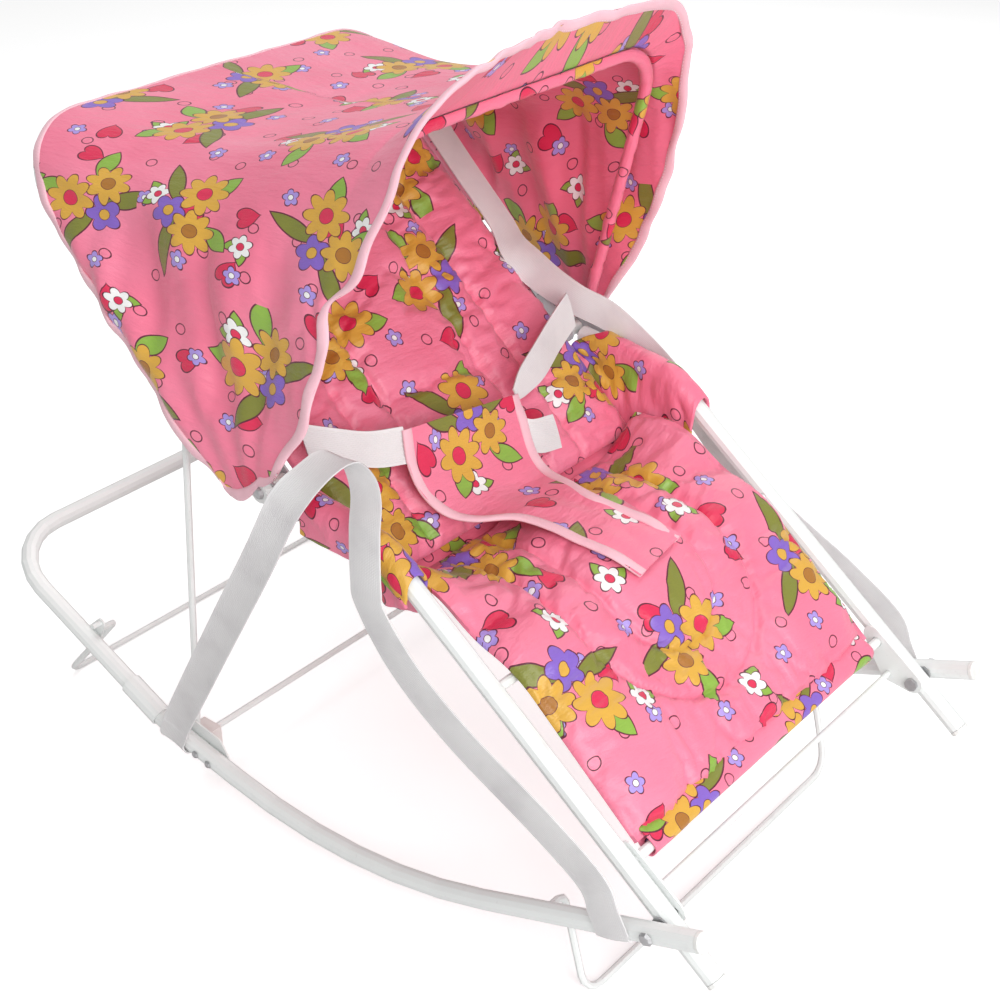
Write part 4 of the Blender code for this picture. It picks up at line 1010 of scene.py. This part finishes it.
def rim_of(spots):
    """The hood's edge points, directions into the cloth and out of it, along (a, b, da, db)."""
    edge, inward, outward = [], [], []
    for a, b, da, db in spots:
        point = hood_place(a, b)
        inside = hood_place(clamped(a + da), clamped(b + db))
        along = hood_place(clamped(a + db), clamped(b - da))
        into = (inside - point).normalized()
        face = into.cross(along - point)
        if face.length < 1e-9:
            face = outward[-1] if outward else Vector((0, 1, 0))
        face.normalize()
        edge.append(point)
        inward.append(into)
        outward.append(face)
    return edge, inward, outward


def shares(count):
    return [i / (count - 1) for i in range(count)]


front_rim = rim_of([(a, 1.0, 0, -0.02) for a in shares(150)])
bound("hood_front_binding", *front_rim, "hood", 0.0022)
rear_rim = rim_of([(a, 0.0, 0, 0.02) for a in shares(150)])
bound("hood_rear_binding", *rear_rim, "backrest", 0.0016)
for hand, a, da in (("left", 0.0, 0.01), ("right", 1.0, -0.01)):
    foot_rim = rim_of([(a, b, da, 0) for b in shares(24)])
    foot_tape = bound("hood_foot_binding_" + hand, *foot_rim, None, 0.0016)
    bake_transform(foot_tape)

# Webbing: flat white polypropylene tape with a woven edge and fine cross ribs, a little soiled.
# It makes the belts of the harness and the carry straps.
WEB_W = 0.030
WEB_T = 0.0014
RIB = 0.0011
WARP = 0.0016
PER_SPAN = 12
web_cloth, web_shader, start = material("white_webbing", Sheen_Weight=0.1)
across, along = start.make("ShaderNodeUVMap", uv_map="cut").split()[:2]
cross_ribs = ((along * (2 * pi / RIB)).sin() + 1.0) * 0.5
warp = ((across * (2 * pi / WARP)).sin() + 1.0) * 0.5
selvedge = (abs(across) - 0.0125).soft_step(0.0, 0.0012)
soil = grain(start, 22, detail=4, source="cut")
web_white = paint(rgba(0.80, 0.79, 0.79), rgba(0.66, 0.64, 0.65), soil.soft_step(0.4, 0.8))
rib_shade = cross_ribs * warp * (1 - selvedge)
# The colour goes greyer between the cross ribs and along the woven edges: painted shade in the
# weave's grooves.
finish(web_shader, paint(web_white, rgba(0.60, 0.58, 0.59), (1 - rib_shade) * 0.28),
       soil * 0.15 + 0.68, raised(rib_shade + selvedge * 0.5, 0.0004, 0.7))


def curve_through(points, per_span):
    """Smooth line through the points (Catmull-Rom)."""
    ends = [2 * points[0] - points[1], *points, 2 * points[-1] - points[-2]]
    line = []
    for a, b, c, d in zip(ends, ends[1:], ends[2:], ends[3:]):
        for i in range(per_span):
            t = i / per_span
            line.append(0.5 * (2 * b + (c - a) * t + (2 * a - 5 * b + 4 * c - d) * t * t
                               + (3 * b - a - 3 * c + d) * t ** 3))
    return line + [points[-1]]


class Band:
    """The middle line of a band, with its directions across and out of its face and its widths."""

    def __init__(self, spots, width=WEB_W, per_span=PER_SPAN):
        """Each spot is a point, the direction across and, if it isn't 1, a factor of the width."""
        self.line = curve_through([Vector(spot[0]) for spot in spots], per_span)
        self.turns = [turn.normalized() for turn in curve_through(
            [Vector(spot[1]).normalized() for spot in spots], per_span)]
        self.widths = [width * factor for factor in curve_through(
            [spot[2] if len(spot) > 2 else 1 for spot in spots], per_span)]
        self.run = [0.0]
        for one, other in zip(self.line, self.line[1:]):
            self.run.append(self.run[-1] + (other - one).length)
        behind = self.line[:1] + self.line[:-1]
        ahead = self.line[1:] + self.line[-1:]
        self.faces = [turn.cross(other - one).normalized()
                      for turn, one, other in zip(self.turns, behind, ahead)]

    def edge(self, hand):
        """One edge: its points, the directions into the band and the directions out of its face."""
        points = [spot + hand * turn * width / 2
                  for spot, turn, width in zip(self.line, self.turns, self.widths)]
        return points, [-hand * turn for turn in self.turns], self.faces


def ribbon(name, band, body, replaces, rests_on, curl=0.0, part=None,
           thickness=WEB_T, look=web_cloth, columns=8, slack=0.0):
    """A strip of webbing or cloth along a band, or along a part of it."""
    first, last = part or (0, len(band.line) - 1)

    def place(a, b):
        i = first + round(b * (last - first))
        share = 2 * a - 1
        billow = curl * (share ** 2 - 0.4)
        billow += slack * (1 - share ** 4) * ripple(band.run[i] * 30, share * 1.8, slack)
        return band.line[i] + band.turns[i] * band.widths[i] / 2 * share + band.faces[i] * billow

    def cut(a, b, point):
        i = first + round(b * (last - first))
        return ((a - 0.5) * band.widths[i], band.run[i])

    thing = piece(name, laid(columns, last - first, place, cut), [look], body, replaces)
    thicken(thing, thickness)
    evaluated = thing.evaluated_get(bpy.context.evaluated_depsgraph_get())
    solid = bpy.data.meshes.new_from_object(evaluated)
    solid.set_sharp_from_angle(angle=radians(50))
    thing.modifiers.clear()
    thing.data = solid
    run = band.run[last] - band.run[first]
    widths = band.widths[first:last + 1]
    max(widths)
    sum(widths) / len(widths) * run
    return thing


# Harness: a crotch panel of the printed cloth, bound at its edges, with a belt at each side.
# The belts run back to the backrest tube; the left one has a loose cut tail.
PANEL_W = 0.064
PANEL_H = 0.0213
LEAN = (-0.35, 0, 0.94)


def by_hinge(*rows):
    """Spots of a band: x, y, z from the hinge line's middle, direction across, width factor."""
    return [(HINGE + Vector(row[:3]), *(row[3:] or [LEAN])) for row in rows]


def on_pad(along, skew, lift=0.0):
    """A spot of the crotch panel over the seat panel, with its direction across."""
    across = 0.0095 - 0.275 * (along - 0.150)
    spot = seat_point(along, across, PANEL_H + lift)
    return (spot, seat_point(along - 0.01 * skew, across - 0.01, PANEL_H + lift) - spot)


PANEL_T = 0.0018
crotch_band = Band([
    on_pad(0.150, 0.12), on_pad(0.168, 0.11), on_pad(0.185, 0.10), on_pad(0.200, 0.08, 0.001),
    on_pad(0.217, 0.05, 0.0035),
    *by_hinge(
        (0.1230, -0.0120, -0.0448, (0.04, -1, 0.02), 1.2),
        (0.0985, -0.0220, -0.0450, (0.08, -1, 0.04), 1.65),
        (0.0815, -0.0273, -0.0375, (0.06, -1, 0.00), 1.9),
        (0.0670, -0.0284, -0.0220, (0.02, -1, 0.00), 2.08),
        (0.0555, -0.0258, -0.0050, (0, -1, 0.04), 2.16),
        (0.0465, -0.0217, 0.0130, (0, -1, 0.16), 2.18))], PANEL_W, per_span=6)
ribbon("crotch_cloth", crotch_band, "seat_frame", ["crotch_panel"], ["seat_panel"],
       thickness=PANEL_T, look=PRINT, columns=30, slack=0.0028)
for hand, side in (("right", 1), ("left", -1)):
    bound("crotch_binding_" + hand, *crotch_band.edge(side), "seat_frame", 0.0016)

belts = {
    "right": by_hinge((0.0500, -0.0895, 0.0125), (0.0375, -0.1150, 0.0145),
                      (0.0235, -0.1400, 0.0230), (0.0135, -0.1630, 0.0325)),
    "left": by_hinge((0.0470, 0.0440, 0.0020, LEAN, 0.35), (0.0415, 0.0620, 0.0060, LEAN, 0.75),
                     (0.0340, 0.0920, 0.0115), (0.0215, 0.1290, 0.0195),
                     (0.0125, 0.1630, 0.0285))}
for hand, spots in belts.items():
    ribbon("belt_web_" + hand, Band(spots), "seat_frame", ["waist_belt_" + hand], ["crotch_cloth"],
           curl=0.0010)
tail_spots = by_hinge((0.0560, 0.0330, -0.0190), (0.0680, 0.0440, -0.0290),
                      (0.0700, 0.0720, -0.0350))
ribbon("belt_tail", Band(tail_spots), "seat_frame", (), ["crotch_cloth"], curl=0.0008)

# Carry straps: one band of webbing on each side, led over the armrest and down round the front of
# the runner. The right one starts round the rear of the rail, the left one on the backrest's edge.
# Each is made in lengths.
COLLAR_T = 0.0015
JOINT_GAP = 0.0003
STRAP_GAP = 0.0009
RUNNER_Y = SEAT_Y + TUBE_D + COLLAR_T + 2 * JOINT_GAP
LOOP_R = TUBE_D / 2 + WEB_T / 2 + STRAP_GAP
STRAP_Y = RUNNER_Y + LOOP_R
RUNNER_REAR = back_at(radians(10.2))
RUNNER_FRONT = back_at(radians(-22.35))
RUNNER_LOW = PIVOT + 0.3112 * RUNNER_FRONT
KINK = RUNNER_LOW + 0.2341 * RUNNER_REAR


def strap_ends(side, rail_point, along, leaving):
    """Turn of a strap round a rail: from below it to its outer side, and on towards a spot."""
    spots = []
    for i in range(5):
        turn = pi / 8 * i
        outward = Vector((0, side * sin(turn), -cos(turn)))
        spots.append((at_y(rail_point, side * RUNNER_Y) + LOOP_R * outward, along))
    beside = spots[-1][0]
    for share in (0.12, 0.4):
        across = Vector(along).lerp(Vector(leaving[1]), share)
        spots.append((beside.lerp(leaving[0], share), across))
    return spots


def strap_side(side, origin, shift, across):
    """A spot of the strap beside the rail, with its direction across in the side plane."""
    spot = at_y(origin + Vector((shift[0], 0, shift[1])), side * STRAP_Y)
    return (spot, (across[0], 0, across[1]))


def strap_front(side):
    """The strap from beside the armrest down to its turn round the runner's front."""
    last = strap_side(side, PIVOT, (-0.0475, 0.025), (0.72, 0.69))
    turn = strap_ends(side, PIVOT + 0.030 * RUNNER_FRONT, -RUNNER_FRONT, last)
    return [
        strap_side(side, BEND, (0.0425, -0.072), (0.72, 0.69)),
        strap_side(side, PIVOT, (-0.1655, 0.088), (0.55, 0.83)),
        strap_side(side, PIVOT, (-0.0925, 0.052), (0.50, 0.86)),
        last, *reversed(turn)]


rear_rise = strap_side(-1, KINK, (0.0327, 0.0279), (0.95, -0.30))
right_rear = [
    *strap_ends(-1, KINK - 0.018 * RUNNER_REAR, -RUNNER_REAR, rear_rise), rear_rise,
    *by_hinge(
        (-0.0475, -0.2160, -0.1500, (0.86, 0, -0.50)),
        (0.0155, -0.2195, -0.0450, (0.86, 0, -0.50)),
        (0.0395, -0.2110, 0.0080, (0.90, 0, -0.44)),
        (0.0560, -0.1970, 0.0350, (0.99, 0, -0.10)),
        (0.0705, -0.1840, 0.0490, (0.97, 0.15, -0.05)),
        (0.0865, -0.1810, 0.0430, (0.97, 0.10, -0.05)),
        (0.0985, -0.1860, 0.0270, (0.98, 0, 0.05)),
        (0.1085, -0.1990, 0.0080, (0.99, 0, 0.10))),
    strap_side(-1, BEND, (0.0065, -0.012), (1, 0.05)),
    strap_side(-1, BEND, (0.0105, -0.033), (0.98, 0.20))]
left_rear = [
    *[(at_y(on_back(along, 0.0111), y), (0, 1, 0)) for along, y in (
        (0.262, 0.178), (0.215, 0.178), (0.165, 0.176), (0.115, 0.175))],
    *by_hinge(
        (-0.0535, 0.1650, 0.0680, (0.10, 0.95, 0.30)),
        (-0.0225, 0.1650, 0.0500, (0.45, 0.45, 0.75)),
        (0.0105, 0.1710, 0.0350, (0.35, 0.10, 0.93)),
        (0.0395, 0.1840, 0.0215, (0.25, 0, 0.97)),
        (0.0615, 0.1970, 0.0000, (0.40, -0.05, 0.91)),
        (0.0870, 0.2050, -0.0250, (0.55, 0, 0.83))),
    strap_side(1, BEND, (0.0085, -0.042), (0.65, 0.76))]
right_strap = Band(right_rear + strap_front(-1))
left_strap = Band(left_rear + strap_front(1))
TO_FRONT = ("base", "seat_frame", (0.30, 0, 0.14), (0.12, 0, 0.27))
# Each length: its band, first and last spot, and two bodies and two places, which the loop leaves
# unused.
LENGTHS = (
    ("strap_rear_right", right_strap, 0, 10,
     ("base", "seat_frame", (-0.15, 0, 0.06), (0, 0, 0.32))),
    ("strap_loop_right", right_strap, 10, 15,
     ("seat_frame", "backrest", (0.06, 0, 0.352), (0.06, 0, 0.376))),
    ("strap_front_right", right_strap, 15, None, TO_FRONT),
    ("strap_rear_left", left_strap, 0, 10,
     ("backrest", "seat_frame", (-0.08, 0, 0.41), (-0.01, 0, 0.37))),
    ("strap_front_left", left_strap, 10, None, TO_FRONT))
for name, band, first, last, (body, other_body, start, end) in LENGTHS:
    part = (PER_SPAN * first, PER_SPAN * last if last else len(band.line) - 1)
    hand = name.split("_")[-1]
    strap = ribbon(name, band, None, ["carry_strap_" + hand],
                   ["bucket_side_" + hand, "runner_" + hand], curl=0.0010, part=part)
    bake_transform(strap)
    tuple(start)
    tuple(end)
